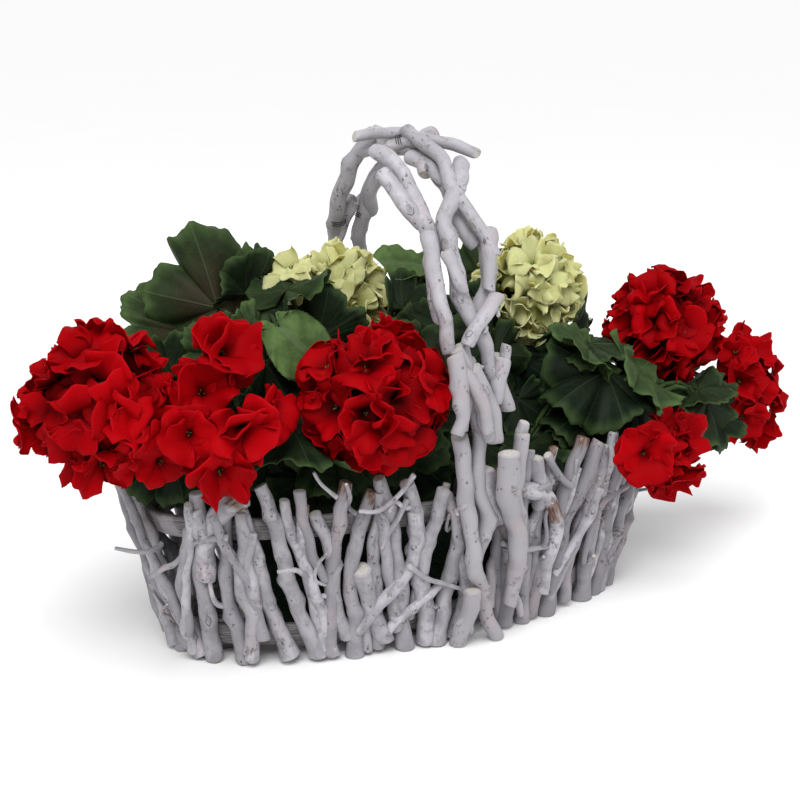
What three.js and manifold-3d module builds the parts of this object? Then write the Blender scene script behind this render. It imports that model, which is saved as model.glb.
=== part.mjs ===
// A handled basket of whitewashed branches that holds an arrangement of red and cream flowers.
// Millimetres, +Z up. X runs along the basket, the origin is under its middle, on the surface it stands on.
import * as THREE from "three";
import { mergeVertices } from "three/addons/utils/BufferGeometryUtils.js";
import Module from "manifold-3d";

const wasm = await Module();
wasm.setup();

// ---------------------------------------------------------------- driving dimensions
const RIM_HALF_LENGTH = 200;
const RIM_HALF_WIDTH = 91;
const BASE_HALF_LENGTH = 165;
const BASE_HALF_WIDTH = 72.5;
const WALL_HEIGHT = 119;
const HANDLE_TOP = 312;
const HANDLE_HALF_SPAN = 93;
const ARCH_EXPONENT = 2.33; // 2 would be an ellipse, more is squarer in the shoulders
const LEG_LEAN = 0.16; // how far a leg leans in, per millimetre below the rim
const CLEARANCE = 0.3; // between pieces that touch
const BRANCH_RADIUS = 5.3;
const TWIG_RADIUS = 4;
const WALL_DEPTH = 13; // from the outside of the wall in to the hoops
const WALL_CELLS = 20; // clusters of uprights round the wall
const SLAT_THICKNESS = 10;
const HOOP_THICKNESS = 5;
const HOOP_HEIGHT = 14;
const HOOP_PIECES = 28;
const LOWER_HOOP_Z = SLAT_THICKNESS + CLEARANCE;
const UPPER_HOOP_Z = 84;
const FOAM_HALF_LENGTH = 112;
const FOAM_HALF_WIDTH = 37;
const FOAM_HEIGHT = 52;
const STEM_RADIUS = 3;
const PETIOLE_RADIUS = 1.7;
const PETAL_THICKNESS = 1.3;
const LEAF_THICKNESS = 1;

// ---------------------------------------------------------------- small helpers
const vec = (x, y, z) => new THREE.Vector3(x, y, z);
const lerp = THREE.MathUtils.lerp;
const clamp = THREE.MathUtils.clamp;
const radians = THREE.MathUtils.degToRad;

/** A repeatable source of numbers between 0 and 1. */
function seeded(seed) {
  let state = seed >>> 0;
  return () => {
    state = (state + 0x6d2b79f5) >>> 0;
    let mixed = Math.imul(state ^ (state >>> 15), 1 | state);
    mixed = (mixed + Math.imul(mixed ^ (mixed >>> 7), 61 | mixed)) ^ mixed;
    return ((mixed ^ (mixed >>> 14)) >>> 0) / 4294967296;
  };
}

/** A gentle wander: a sum of two sines with drawn phases, about +-size. */
function wander(random, size) {
  const [first, second] = [random() * 6.28, random() * 6.28];
  return (share) => size * (0.65 * Math.sin(first + 4.5 * share) + 0.35 * Math.sin(second + 9.5 * share));
}

/** Indexed geometry of shared points. */
function geometryOf(points, triangles) {
  const geometry = new THREE.BufferGeometry().setFromPoints(points);
  geometry.setIndex(triangles.flat());
  return geometry;
}

/** A closed geometry as a solid that can be joined and cut. */
function solidOf(geometry) {
  const bare = geometry.clone();
  bare.deleteAttribute("normal");
  bare.deleteAttribute("uv");
  const merged = mergeVertices(bare, 1e-4);
  return new wasm.Manifold(
    new wasm.Mesh({
      numProp: 3,
      vertProperties: merged.attributes.position.array,
      triVerts: new Uint32Array(merged.index.array),
    }),
  );
}

/** Geometries that cross each other, as one closed geometry. */
function fused(geometries) {
  const whole = geometries.map(solidOf).reduce((sum, piece) => sum.add(piece));
  const mesh = whole.getMesh();
  const geometry = new THREE.BufferGeometry();
  geometry.setAttribute("position", new THREE.BufferAttribute(mesh.vertProperties, 3));
  geometry.setIndex(new THREE.BufferAttribute(mesh.triVerts, 1));
  return geometry;
}

/** A ring of `sides` points round `centre`, the first towards `normal`. */
function ringAt(centre, heading, normal, radius, sides) {
  const side = heading.clone().cross(normal);
  return Array.from({ length: sides }, (_, k) => {
    const angle = (2 * Math.PI * k) / sides;
    const out = normal.clone().multiplyScalar(Math.cos(angle)).addScaledVector(side, Math.sin(angle));
    return centre.clone().addScaledVector(out, radius);
  });
}

/** The part of `direction` that is square to `heading`, as a unit vector. */
function squareTo(heading, direction) {
  const square = direction.clone().addScaledVector(heading, -direction.dot(heading));
  return square.length() > 1e-3 ? square.normalize() : squareTo(heading, vec(0.3, 0.9, 0.2));
}

/** The direction of a line of points at its i-th point. */
function headingAt(points, i) {
  const ahead = points[Math.min(i + 1, points.length - 1)];
  return ahead.clone().sub(points[Math.max(i - 1, 0)]).normalize();
}

/** A branch through `points` with a radius at each and cut ends; a ridge runs on its `ridges` side. */
function branch(points, radii, sides, ridges = []) {
  let normal = ridges[0] ?? vec(0, 0, 1);
  const rings = points.map((point, i) => {
    const heading = headingAt(points, i);
    normal = squareTo(heading, ridges[i] ?? normal);
    return ringAt(point, heading, normal, radii[i], sides);
  });
  return geometryOf(rings.flat(), tubeFaces(points.length, sides));
}

/** Faces of a closed tube of rings that lie one after the other in a list of points. */
function tubeFaces(count, sides) {
  const triangles = [];
  for (let i = 0; i < count - 1; i++) {
    for (let k = 0; k < sides; k++) {
      const [a, b] = [i * sides + k, i * sides + ((k + 1) % sides)];
      triangles.push([a, b, b + sides], [a, b + sides, a + sides]);
    }
  }
  const end = (count - 1) * sides;
  for (let k = 1; k < sides - 1; k++) triangles.push([0, k + 1, k], [end, end + k, end + k + 1]);
  return triangles;
}

/** Points evenly along a smooth line through `knots`. */
function smooth(knots, pieces) {
  return new THREE.CatmullRomCurve3(knots, false, "catmullrom", 0.5).getSpacedPoints(pieces);
}

/** A branch that thins evenly along a smooth line. */
function tapered(knots, pieces, from, to, sides = 6) {
  const points = smooth(knots, pieces);
  return branch(points, points.map((_, i) => lerp(from, to, i / pieces)), sides);
}

/** A dull finish, with flat facets where the piece has them. */
function finish(color, roughness, flatShading) {
  return new THREE.MeshStandardMaterial({ color, roughness, metalness: 0, flatShading });
}

const materials = {
  branches: finish(0xc3c0c6, 0.85, true),
  slats: finish(0x9c999f, 0.9, false),
  foam: finish(0x3d4a38, 1, false),
  red: finish(0xc4101a, 0.7, true),
  cream: finish(0xe4e4a6, 0.7, true),
  green: finish(0x2c5230, 0.6, true),
};

const arrangement = new THREE.Group();

/** Adds one named piece to the arrangement. */
function add(name, geometry, material) {
  const mesh = new THREE.Mesh(geometry, material);
  mesh.name = name;
  arrangement.add(mesh);
}

// ---------------------------------------------------------------- the wall's surface
/** Half length and half width of the hoops' outer face at a height. */
function wallSize(z) {
  const share = z / WALL_HEIGHT;
  return [
    lerp(BASE_HALF_LENGTH, RIM_HALF_LENGTH, share) - WALL_DEPTH,
    lerp(BASE_HALF_WIDTH, RIM_HALF_WIDTH, share) - WALL_DEPTH,
  ];
}

/** The point `out` mm outside the hoops' outer face, at an angle round the oval and a height. */
function wallPoint(angle, z, out) {
  const [a, b] = wallSize(z);
  const flareA = (RIM_HALF_LENGTH - BASE_HALF_LENGTH) / WALL_HEIGHT;
  const flareB = (RIM_HALF_WIDTH - BASE_HALF_WIDTH) / WALL_HEIGHT;
  const [c, s] = [Math.cos(angle), Math.sin(angle)];
  const normal = vec(b * c, a * s, -(a * flareB * s * s + b * flareA * c * c)).normalize();
  return vec(a * c, b * s, z).addScaledVector(normal, out);
}

const ROUND_STEPS = 720;
const roundLengths = [0];
for (let i = 1; i <= ROUND_STEPS; i++) {
  const here = wallPoint((2 * Math.PI * i) / ROUND_STEPS, WALL_HEIGHT / 2, 0);
  const before = wallPoint((2 * Math.PI * (i - 1)) / ROUND_STEPS, WALL_HEIGHT / 2, 0);
  roundLengths.push(roundLengths[i - 1] + here.distanceTo(before));
}
const GIRTH = roundLengths[ROUND_STEPS];

/** The oval's angle at a share of the way round, by length. */
function angleAt(share) {
  const turns = Math.floor(share);
  const length = (share - turns) * GIRTH;
  const i = roundLengths.findIndex((far) => far > length);
  const part = (length - roundLengths[i - 1]) / (roundLengths[i] - roundLengths[i - 1]);
  return 2 * Math.PI * (turns + (i - 1 + part) / ROUND_STEPS);
}

// ---------------------------------------------------------------- floor and hoops
const SLAT_ROWS = [-38, 0, 38];
const SLAT_WIDTH = 22;
SLAT_ROWS.forEach((y, i) => {
  const [a, b] = wallSize(0);
  const far = Math.abs(y) + SLAT_WIDTH / 2;
  const half = a * Math.sqrt(1 - (far / b) ** 2) - CLEARANCE;
  const slat = new THREE.BoxGeometry(2 * half, SLAT_WIDTH, SLAT_THICKNESS);
  slat.translate(0, y, SLAT_THICKNESS / 2);
  add(`floor_slat_${i + 1}`, slat, materials.slats);
});

/** An oval strip that the uprights are fastened to. */
function hoop(low) {
  const high = low + HOOP_HEIGHT;
  const [points, triangles] = [[], []];
  for (let i = 0; i < HOOP_PIECES; i++) {
    const angle = (2 * Math.PI * i) / HOOP_PIECES;
    const outside = [wallPoint(angle, low, 0), wallPoint(angle, high, 0)];
    const inwards = wallPoint(angle, low, -HOOP_THICKNESS).sub(outside[0]).setZ(0);
    const inside = outside.map((point) => point.clone().add(inwards));
    points.push(...outside, inside[1], inside[0]);
    for (let k = 0; k < 4; k++) {
      const [a, b] = [i * 4 + k, i * 4 + ((k + 1) % 4)];
      const [c, d] = [(a + 4) % (HOOP_PIECES * 4), (b + 4) % (HOOP_PIECES * 4)];
      triangles.push([a, c, d], [a, d, b]);
    }
  }
  return geometryOf(points, triangles);
}
add("hoop_lower", hoop(LOWER_HOOP_Z), materials.slats);
add("hoop_upper", hoop(UPPER_HOOP_Z), materials.slats);

// ---------------------------------------------------------------- wall of uprights
const CELL = 1 / WALL_CELLS;
const SIDE_GAP = 1; // kept by each branch from its cell's edge
const FOOT_Z = 0.2; // feet of the branches, just clear of the surface under the basket
const UPRIGHT_PIECES = 4; // straight stretches of an upright
const MEET_SHARE = 0.42; // of the height, over which a pair of uprights draws together
const WALL_SEAT_SHARE = 0.94; // an upright's faces lie this much nearer its middle than its ridges
const laid = []; // centres and radii of the branches that lie under the next one of the handle
const wallRandom = seeded(41);
const edges = Array.from({ length: WALL_CELLS }, (_, i) => ({
  at: (i + 0.16 * (wallRandom() - 0.5)) * CELL,
  lean: (i % 2 ? 1 : -1) * CELL * (0.3 + 0.1 * wallRandom()),
  wave: wander(wallRandom, CELL * 0.09),
}));

/** Where an edge between two cells lies, as a share of the way round, at a share of the height. */
function edgeAt(i, share) {
  const edge = edges[((i % WALL_CELLS) + WALL_CELLS) % WALL_CELLS];
  return edge.at + Math.floor(i / WALL_CELLS) + edge.lean * (share - 0.5) + edge.wave(share);
}

/** A millimetre along the wall, as a share of the way round, at a height. */
function millimetreAt(z) {
  return wallSize(WALL_HEIGHT / 2)[1] / wallSize(z)[1] / GIRTH;
}

/** Cuts a branch's foot level, just over the surface that the floor slats stand on. */
function standing(geometry) {
  const position = geometry.attributes.position;
  for (let k = 0; k < position.count; k++) position.setZ(k, Math.max(position.getZ(k), FOOT_Z));
  return geometry;
}

/** An upright: `place(share, z, radius)` gives its line round the wall. */
function upright(place, low, high, radius, sides) {
  const [points, radii, ridges] = [[], [], []];
  for (let k = 0; k <= UPRIGHT_PIECES; k++) {
    const z = lerp(low, high, k / UPRIGHT_PIECES);
    const thick = radius * (1.04 - 0.18 * (k / UPRIGHT_PIECES));
    const angle = angleAt(place(z / WALL_HEIGHT, z, thick));
    radii.push(thick);
    points.push(wallPoint(angle, z, thick + CLEARANCE));
    ridges.push(wallPoint(angle, z, 0).sub(points[k]));
  }
  for (let k = 0; k < UPRIGHT_PIECES; k++) {
    for (let part = 0; part < 1; part += 0.125) {
      const thick = WALL_SEAT_SHARE * lerp(radii[k], radii[k + 1], part);
      laid.push({ point: points[k].clone().lerp(points[k + 1], part), radius: thick });
    }
  }
  return standing(branch(points, radii, sides, ridges));
}

for (let i = 0; i < WALL_CELLS; i++) {
  const opensUp = i % 2 === 0; // the pair of branches meets at its feet, or at its tips
  const within = (share) => MEET_SHARE - (opensUp ? share : 1 - share);
  const meets = (share) => THREE.MathUtils.smoothstep(within(share), 0, MEET_SHARE);
  const middle = (share) => (edgeAt(i, share) + edgeAt(i + 1, share)) / 2;
  const pieces = [];
  for (const side of [-1, 1]) {
    const spread = wallRandom() * 2.5;
    const place = (share, z, thick) => {
      const beside = side < 0 ? edgeAt(i, share) : edgeAt(i + 1, share);
      const inset = (thick + SIDE_GAP + spread * Math.sin(3.1 * clamp(share, 0, 1)) ** 2) * millimetreAt(z);
      const joined = middle(share) + side * 0.55 * thick * millimetreAt(z);
      return lerp(beside - side * inset, joined, meets(share));
    };
    const radius = BRANCH_RADIUS * (0.9 + 0.2 * wallRandom());
    const low = 0.5 + 6 * wallRandom();
    const high = WALL_HEIGHT - 9 + 16 * wallRandom();
    pieces.push(upright(place, low, high, radius, 6));
  }
  if (i % 4 < 2) {
    const drift = wander(wallRandom, 2.5);
    const between = (share, z) => middle(share) + drift(share) * millimetreAt(z);
    const radius = TWIG_RADIUS * (0.9 + 0.25 * wallRandom());
    const loose = wallRandom(); // at the end that is free, the other ends where the pair meets
    const low = opensUp ? 9 : 1 + 5 * loose;
    const high = WALL_HEIGHT - (opensUp ? 14 - 22 * loose : 12);
    pieces.push(upright(between, low, high, radius, 4));
  }
  add(`wall_branch_${String(i + 1).padStart(2, "0")}`, fused(pieces), materials.branches);
}

// ---------------------------------------------------------------- handle
/** A point of the arch's outline and its outward direction, at an angle from the near rim over the top. */
function archAt(degrees) {
  const [c, s] = [Math.cos(radians(degrees)), Math.sin(radians(degrees))];
  const reach = (Math.abs(c) ** ARCH_EXPONENT + Math.abs(s) ** ARCH_EXPONENT) ** (-1 / ARCH_EXPONENT);
  const [y, z] = [-HANDLE_HALF_SPAN * reach * c, (HANDLE_TOP - WALL_HEIGHT) * reach * s];
  const outward = vec(
    0,
    (-Math.sign(c) * Math.abs(reach * c) ** (ARCH_EXPONENT - 1)) / HANDLE_HALF_SPAN,
    Math.abs(reach * s) ** (ARCH_EXPONENT - 1) / (HANDLE_TOP - WALL_HEIGHT),
  );
  return { point: vec(0, y, WALL_HEIGHT + z), outward: outward.normalize() };
}

const archLengths = [0];
for (let i = 1; i <= 360; i++) {
  archLengths.push(archLengths[i - 1] + archAt(i / 2).point.distanceTo(archAt((i - 1) / 2).point));
}
const ARCH_LENGTH = archLengths[360];

/** The way along the handle's outline, in mm from the near rim, of an angle over the arch. */
function overArch(degrees) {
  const i = Math.min(Math.floor(degrees * 2), 359);
  return lerp(archLengths[i], archLengths[i + 1], degrees * 2 - i);
}

/** The outline's point and outward direction at a way along it. */
function outlineAt(way) {
  const far = way > ARCH_LENGTH / 2;
  const own = far ? ARCH_LENGTH - way : way;
  const side = far ? 1 : -1;
  if (own < 0) {
    const point = vec(0, side * (HANDLE_HALF_SPAN + own * LEG_LEAN), WALL_HEIGHT + own);
    return { point, outward: vec(0, side, -LEG_LEAN).normalize() };
  }
  const i = archLengths.findIndex((length) => length > own);
  const degrees = (i - 1 + (own - archLengths[i - 1]) / (archLengths[i] - archLengths[i - 1])) / 2;
  return archAt(far ? 180 - degrees : degrees);
}

const WALL_SEAT = -4; // lowest centre of a handle branch beside the wall, from the handle's outline
const TOPS_REACH = 12; // how far the uprights' tips stand above the rim beside the legs
const SEGMENT = 16; // about the length of a straight stretch of a handle branch
const STEEPEST = 0.3; // how fast a handle branch rises over the one it crosses
const CROSSING_ROOM = CLEARANCE + 0.25;

/** Height over the outline at which a branch clears the branches under it. */
function clearHeight(way, x, radius, base) {
  const { point, outward } = outlineAt(way);
  point.setX(x);
  let height = Math.min(way, ARCH_LENGTH - way) < TOPS_REACH ? Math.max(base, WALL_SEAT) : base;
  for (const under of laid) {
    const apart = point.clone().sub(under.point);
    const along = apart.dot(outward);
    const room = radius + under.radius + CROSSING_ROOM;
    const inside = along * along - apart.lengthSq() + room * room;
    if (inside > 0) height = Math.max(height, -along + Math.sqrt(inside));
  }
  return height;
}

/** One branch of the handle through [way, x] pairs, laid over those before it. */
function handleBranch(route, radius, base, settle) {
  const steps = 60;
  const line = smooth(route.map(([way, x]) => vec(way, x, 0)), steps);
  const needed = line.map((p) => clearHeight(p.x, p.y, radius * 1.02, base));
  const heights = line.map((p) =>
    Math.max(...needed.map((need, j) => need - STEEPEST * line[j].distanceTo(p))),
  );
  const length = line[0].distanceTo(line[steps]);
  const every = Math.floor(steps / Math.max(4, Math.round(length / SEGMENT)));
  const [points, ridges] = [[], []];
  for (let i = 0; i <= steps; i += every) {
    const k = i + every > steps ? steps : i;
    const { point, outward } = outlineAt(line[k].x);
    points.push(point.setX(line[k].y).addScaledVector(outward, heights[k] - settle));
    ridges.push(outward);
  }
  const radii = points.map((_, i) => radius * (i % 2 ? 0.96 : 1.02));
  return { points, radius, geometry: standing(branch(points, radii, 6, ridges)) };
}

/** Records a finished handle branch as lying under the ones to come. */
function layDown({ points, radius }) {
  points.slice(1).forEach((next, i) => {
    for (let part = 0; part < 1; part += 0.2) {
      laid.push({ point: points[i].clone().lerp(next, part), radius });
    }
  });
}

/**
 * The handle's branches in the order in which they are laid, from the inner layer outwards. A route lists
 * [station, X], `base` is the lowest height of its middle over the outline, and `settle` presses it down.
 */
const handleBranches = [
  // near side
  {
    base: -8,
    routes: [
      [[85, 5], [74, 9], [58, 5], [49, 8], [44, 18], [36, 16], [31, 9], [26, 4]],
      [[54, -1], [48, 4], [43, 13]],
    ],
  },
  {
    base: -2, settle: 1,
    routes: [
      [[82, -28], [67, -25], [55, -24], [46, -22.4], [35, -23], [28, -22]],
      [[66, -38], [54, -31], [48, -23]],
    ],
  },
  { base: -7, radius: 4.7, routes: [[[21, 16], [15, 14], [9, 10]]] },
  {
    base: 0,
    routes: [
      [[66, 17], [56, 2], [48, -12.3], [40, -12.3], [31, -6], [26, 1], [18, 10], [11, 20]],
    ],
  },
  {
    base: 1.4, radius: 4.9, settle: -0.3,
    routes: [
      [[24, -12], [17, -8], [9, -3], [-4, -1], [-33, 5], [-60, 3]],
    ],
  },
  { base: 2, radius: 4.8, routes: [[[32, 14], [28, -1], [24, -14]]] },
  { base: 2, routes: [[[20, -11], [16, -5], [12, 1], [6, 6]]] },
  { base: 0, radius: 4.9, settle: 2.2, routes: [[[6, 32], [-4, 29], [-22, 31], [-60, 39]]] },
  { base: 0, radius: 7.9, settle: 0.3, routes: [[[5, 8], [-13, 13], [-33, 23], [-53, 29], [-96, 31]]] },
  { base: 4, routes: [[[8, -17], [-17, -9], [-60, 0], [-90, 10], [-118, 24]]] },
  { base: 0, radius: 5.5, settle: 1.3, routes: [[[-72, -6], [-88, -4], [-118, -4]]] },
  // crown
  { base: 0, radius: 4.9, routes: [[[103, -6], [111, 16], [116, 33]]] },
  { base: -6, routes: [[[101, -27], [84, 2], [67, 27]]] },
  { base: -12, radius: 7.2, settle: 1.6, routes: [[[93, 12], [100, 24], [110, 36]]] },
  // far side
  {
    base: 0, settle: 0.5,
    routes: [
      [
        [106, -2], [114, -8], [123, -13], [133, -15], [145, -12],
        [158, -13], [170, -8], [195, -4], [240, 6],
      ],
    ],
  },
  {
    base: 0, settle: 0.1,
    routes: [
      [[118, 14], [130, 6], [142, 5], [152, 12], [165, 15], [188, 12], [215, 17], [270, 20]],
    ],
  },
  { base: 4, routes: [[[172, 3], [184, 0], [215, -12], [255, -24], [296, -28]]] },
];

/** A route's station: degrees over the arch, or millimetres below the rim past 0 and 180. */
function stationOf(value) {
  if (value < 0) return value;
  return value > 180 ? ARCH_LENGTH + value - 180 : overArch(value);
}

handleBranches.forEach(({ routes, base, radius = BRANCH_RADIUS, settle = 0 }, i) => {
  const stations = routes.map((route) => route.map(([at, x]) => [stationOf(at), x]));
  const made = stations.map((route) => handleBranch(route, radius, base, settle));
  made.forEach(layDown);
  const geometry = fused(made.map((piece) => piece.geometry));
  add(`handle_branch_${String(i + 1).padStart(2, "0")}`, geometry, materials.branches);
});

// ---------------------------------------------------------------- flower heads
/** A dense head is a ball of florets on a core, a loose one is florets on stalks from a knot. */
const heads = [
  { name: "red_bloom_left", at: vec(-218, -30, 175), radius: 45, petals: "red", root: "left" },
  { name: "red_bloom_centre", at: vec(-64, -75, 172), radius: 43, petals: "red", root: "front_left" },
  { name: "red_bloom_right", at: vec(205, -5, 173), radius: 41, petals: "red", root: "right_end" },
  { name: "cream_bloom_left", at: vec(-38, 27, 206), radius: 37, petals: "cream", root: "back_left" },
  { name: "cream_bloom_right", at: vec(116, 35, 200), radius: 38, petals: "cream", root: "back_right" },
];
const looseHeads = [
  {
    name: "red_bloom_loose_left",
    knot: vec(-154, -50, 150),
    root: "left",
    florets: [
      [vec(-151, -55, 204), vec(0, -0.8, 0.6), 23],
      [vec(-166, -60, 183), vec(-0.4, -0.8, 0.5), 20],
      [vec(-129, -72, 169), vec(0.5, -0.9, 0.2), 17],
      [vec(-180, -74, 164), vec(-0.6, -0.8, 0.1), 18],
      [vec(-153, -88, 167), vec(-0.1, -1, 0.2), 20],
      [vec(-165, -82, 142), vec(-0.3, -0.9, -0.4), 20],
    ],
  },
  {
    name: "red_bloom_low_right",
    knot: vec(158, -60, 132),
    root: "front_right",
    over: [vec(136, -44, 137)],
    florets: [
      [vec(134, -84, 108), vec(-0.35, -0.9, -0.1), 21],
      [vec(178, -68, 111), vec(0.4, -0.9, 0.1), 21],
      [vec(168, -70, 88), vec(0.1, -0.8, -0.5), 19],
    ],
  },
  {
    name: "red_bloom_far_right",
    knot: vec(270, 6, 118),
    root: "right_end",
    over: [vec(150, 26, 130), vec(186, 37, 142), vec(236, 26, 134)],
    florets: [
      [vec(299, 6, 147), vec(0.6, 0.1, 0.8), 20],
      [vec(316, 8, 114), vec(1, 0, 0.1), 20],
      [vec(297, 0, 86), vec(0.7, -0.2, -0.7), 18],
      [vec(272, -18, 129), vec(-0.2, -0.9, 0.4), 18],
      [vec(298, 32, 101), vec(0.6, 0.8, -0.1), 19],
      [vec(276, -16, 98), vec(-0.1, -0.8, -0.6), 17],
    ],
  },
];
const CORE_SHARE = 0.6; // core radius of a dense head, of its whole radius
const PETALS = 5;

/** Rim of a five-petalled floret, a ruffled cup that faces `facing`; `within` keeps it clear of others. */
function floretRim(throat, facing, radius, depth, random, within) {
  const turn = new THREE.Quaternion().setFromUnitVectors(vec(0, 0, 1), facing);
  const spin = random() * 6.28;
  const rim = [];
  for (let petal = 0; petal < PETALS; petal++) {
    for (const [offset, reach, lift] of [[-0.5, 0.62, 0.5], [-0.22, 0.98, 0.8], [0.22, 1, 1.15]]) {
      const angle = spin + (2 * Math.PI * (petal + offset)) / PETALS;
      const far = radius * reach * (0.94 + 0.12 * random());
      const height = radius * depth * lift * (0.7 + 0.6 * random());
      const local = vec(far * Math.cos(angle), far * Math.sin(angle), height);
      rim.push(within(local.applyQuaternion(turn).add(throat)));
    }
  }
  return rim;
}

/** A thin closed blade: a fan from `middle` to `rim`, the same triangles on the face `behind` it. */
function blade(middle, rim, behind, thickness, thickMiddle = thickness) {
  const count = rim.length;
  const backs = rim.map((p) => p.clone().addScaledVector(behind, thickness));
  const points = [middle, ...rim, middle.clone().addScaledVector(behind, thickMiddle), ...backs];
  const triangles = [];
  for (let k = 0; k < count; k++) {
    const [a, b] = [1 + k, 1 + ((k + 1) % count)];
    const [c, d] = [a + count + 1, b + count + 1];
    triangles.push([0, a, b], [count + 1, d, c], [a, c, d], [a, d, b]);
  }
  return geometryOf(points, triangles);
}

/**
 * A blade on a three-sided stalk, one closed piece. The stalk leaves the middle of the blade's back and
 * follows `path`, which starts at that middle.
 */
function stalkedBlade(middle, rim, behind, thickness, path, radius) {
  const sides = 3;
  const count = rim.length;
  const backs = rim.map((p) => p.clone().addScaledVector(behind, thickness));
  let normal = rim[Math.floor(count / sides / 2)].clone().sub(middle);
  const rings = path.map((point, i) => {
    const heading = i ? headingAt(path, i) : behind;
    normal = squareTo(heading, normal);
    const start = i ? point : middle.clone().addScaledVector(behind, thickness);
    return ringAt(start, heading.clone().negate(), normal, radius * (i ? 1 : 1.3), sides);
  });
  const [first, tube] = [1 + 2 * count, rings.flat()];
  const ringOf = (k) => Math.floor(((k % count) * sides) / count);
  const triangles = [];
  for (let k = 0; k < count; k++) {
    const [a, b] = [1 + k, 1 + ((k + 1) % count)];
    const [c, d] = [a + count, b + count];
    const [near, next] = [first + ringOf(k), first + ringOf(k + 1)];
    triangles.push([0, a, b], [a, c, d], [a, d, b], [near, d, c]);
    if (near !== next) triangles.push([near, next, d]);
  }
  for (let i = 0; i < rings.length - 1; i++) {
    for (let k = 0; k < sides; k++) {
      const [a, b] = [first + i * sides + k, first + i * sides + ((k + 1) % sides)];
      triangles.push([b, a, a + sides], [b, a + sides, b + sides]);
    }
  }
  const end = first + (rings.length - 1) * sides;
  triangles.push([end, end + 2, end + 1]);
  return geometryOf([middle, ...rim, ...backs, ...tube], triangles);
}

/** A faceted ball with one corner towards `corner`. */
function ball(centre, radius, corner, detail = 1) {
  const shape = new THREE.IcosahedronGeometry(radius, detail);
  const first = vec(0, 0, 0).fromBufferAttribute(shape.attributes.position, 0).normalize();
  shape.applyQuaternion(new THREE.Quaternion().setFromUnitVectors(first, corner.clone().normalize()));
  return shape.translate(centre.x, centre.y, centre.z);
}

// ---------------------------------------------------------------- stems and leaves
/** Where each leafy stem stands in the foam, and where its branches part. */
const roots = {
  left: { base: vec(-92, 4, 0), fork: vec(-104, 0, 84) },
  front_left: { base: vec(-52, -20, 0), fork: vec(-56, -28, 88) },
  back_left: { base: vec(-44, 20, 0), fork: vec(-44, 24, 92) },
  front_right: { base: vec(50, -20, 0), fork: vec(62, -26, 86) },
  back_right: { base: vec(44, 20, 0), fork: vec(54, 24, 92) },
  right_end: { base: vec(92, 2, 0), fork: vec(108, 4, 84) },
};

/** Leaves of each stem: the junction, tip of the middle lobe, where the face looks, way over the wall. */
const leaves = {
  left: [
    [vec(-144, 50, 196), vec(-158, 64, 242), vec(-0.4, -0.75, 0.5)],
    [vec(-118, 12, 212), vec(-112, 30, 260), vec(-0.2, -0.9, 0.4)],
    [vec(-126, -12, 192), vec(-134, -6, 214), vec(0, -0.9, 0.5)],
    [vec(-160, 44, 162), vec(-192, 70, 156), vec(-0.3, 0.5, 0.8)],
    [vec(-216, 32, 145), vec(-248, 50, 132), vec(-0.4, 0.2, 0.85), vec(-176, 26, 140)],
    [vec(-114, 52, 150), vec(-124, 92, 142), vec(0, 0.6, 0.8)],
  ],
  front_left: [
    [vec(-88, -34, 196), vec(-120, -40, 216), vec(0, -0.95, 0.15)],
    [vec(-25, -36, 152), vec(12, -48, 156), vec(0.2, -0.9, 0.4)],
    [vec(-104, -52, 148), vec(-114, -92, 139), vec(-0.1, -0.3, 0.95)],
    [vec(-110, -18, 142), vec(-122, -24, 174), vec(-0.2, -0.9, 0.2)],
  ],
  back_left: [
    [vec(-58, -12, 192), vec(-88, -8, 218), vec(-0.2, -0.9, 0.4)],
    [vec(14, 22, 218), vec(34, 44, 228), vec(0, -0.4, 0.9)],
    [vec(-88, 72, 206), vec(-84, 88, 238), vec(-0.2, -0.8, 0.4)],
    [vec(-62, 60, 165), vec(-68, 100, 158), vec(0, 0.6, 0.8)],
    [vec(8, -8, 184), vec(-8, -12, 206), vec(0, -0.9, 0.4)],
  ],
  front_right: [
    [vec(122, -30, 158), vec(76, -44, 148), vec(-0.2, -0.8, 0.55)],
    [vec(125, -31, 132), vec(88, -43, 124), vec(-0.2, -0.8, 0.55)],
    [vec(84, -2, 134), vec(52, -18, 124), vec(-0.2, -0.8, 0.55)],
    [vec(156, -46, 166), vec(181, -54, 149), vec(0.1, -0.8, 0.6)],
    [vec(142, 8, 170), vec(110, 6, 182), vec(-0.2, -0.7, 0.65)],
  ],
  back_right: [
    [vec(100, 76, 206), vec(104, 82, 232), vec(0, -0.8, 0.5)],
    [vec(66, 48, 160), vec(68, 88, 156), vec(0, 0.6, 0.8)],
    [vec(108, 62, 144), vec(112, 104, 136), vec(0.1, 0.6, 0.8)],
    [vec(140, 56, 160), vec(158, 94, 150), vec(0.2, 0.5, 0.8)],
    [vec(66, 6, 178), vec(44, -4, 196), vec(0, -0.8, 0.6)],
  ],
  right_end: [
    [vec(230, -24, 124), vec(234, -44, 100), vec(0.3, -0.9, 0.4), vec(184, -38, 137)],
    [vec(208, -34, 140), vec(180, -46, 136), vec(-0.1, -0.75, 0.65), vec(186, -31, 138)],
    [vec(236, 40, 126), vec(246, 70, 114), vec(0.3, 0.4, 0.9), vec(184, 42, 140)],
    [vec(188, 50, 146), vec(200, 82, 136), vec(0.2, 0.6, 0.8), vec(160, 42, 138)],
  ],
};
const LOBES = 5;
const LEAF_ROOM = 6; // between a leaf's edge and a dense head
const FORK_FROM = 66; // height where the first petioles leave a stem
const LOBED_SPAN = 310; // degrees of the outline that the lobes take, the rest is the petiole's notch

/** Moves a point out of every dense head that it would lie in. */
function clearOfHeads(point, room) {
  for (const head of heads) {
    const apart = point.clone().sub(head.at);
    const keep = head.radius + room;
    if (apart.length() < keep) point.copy(head.at).addScaledVector(apart.normalize(), keep);
  }
  return point;
}

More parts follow.
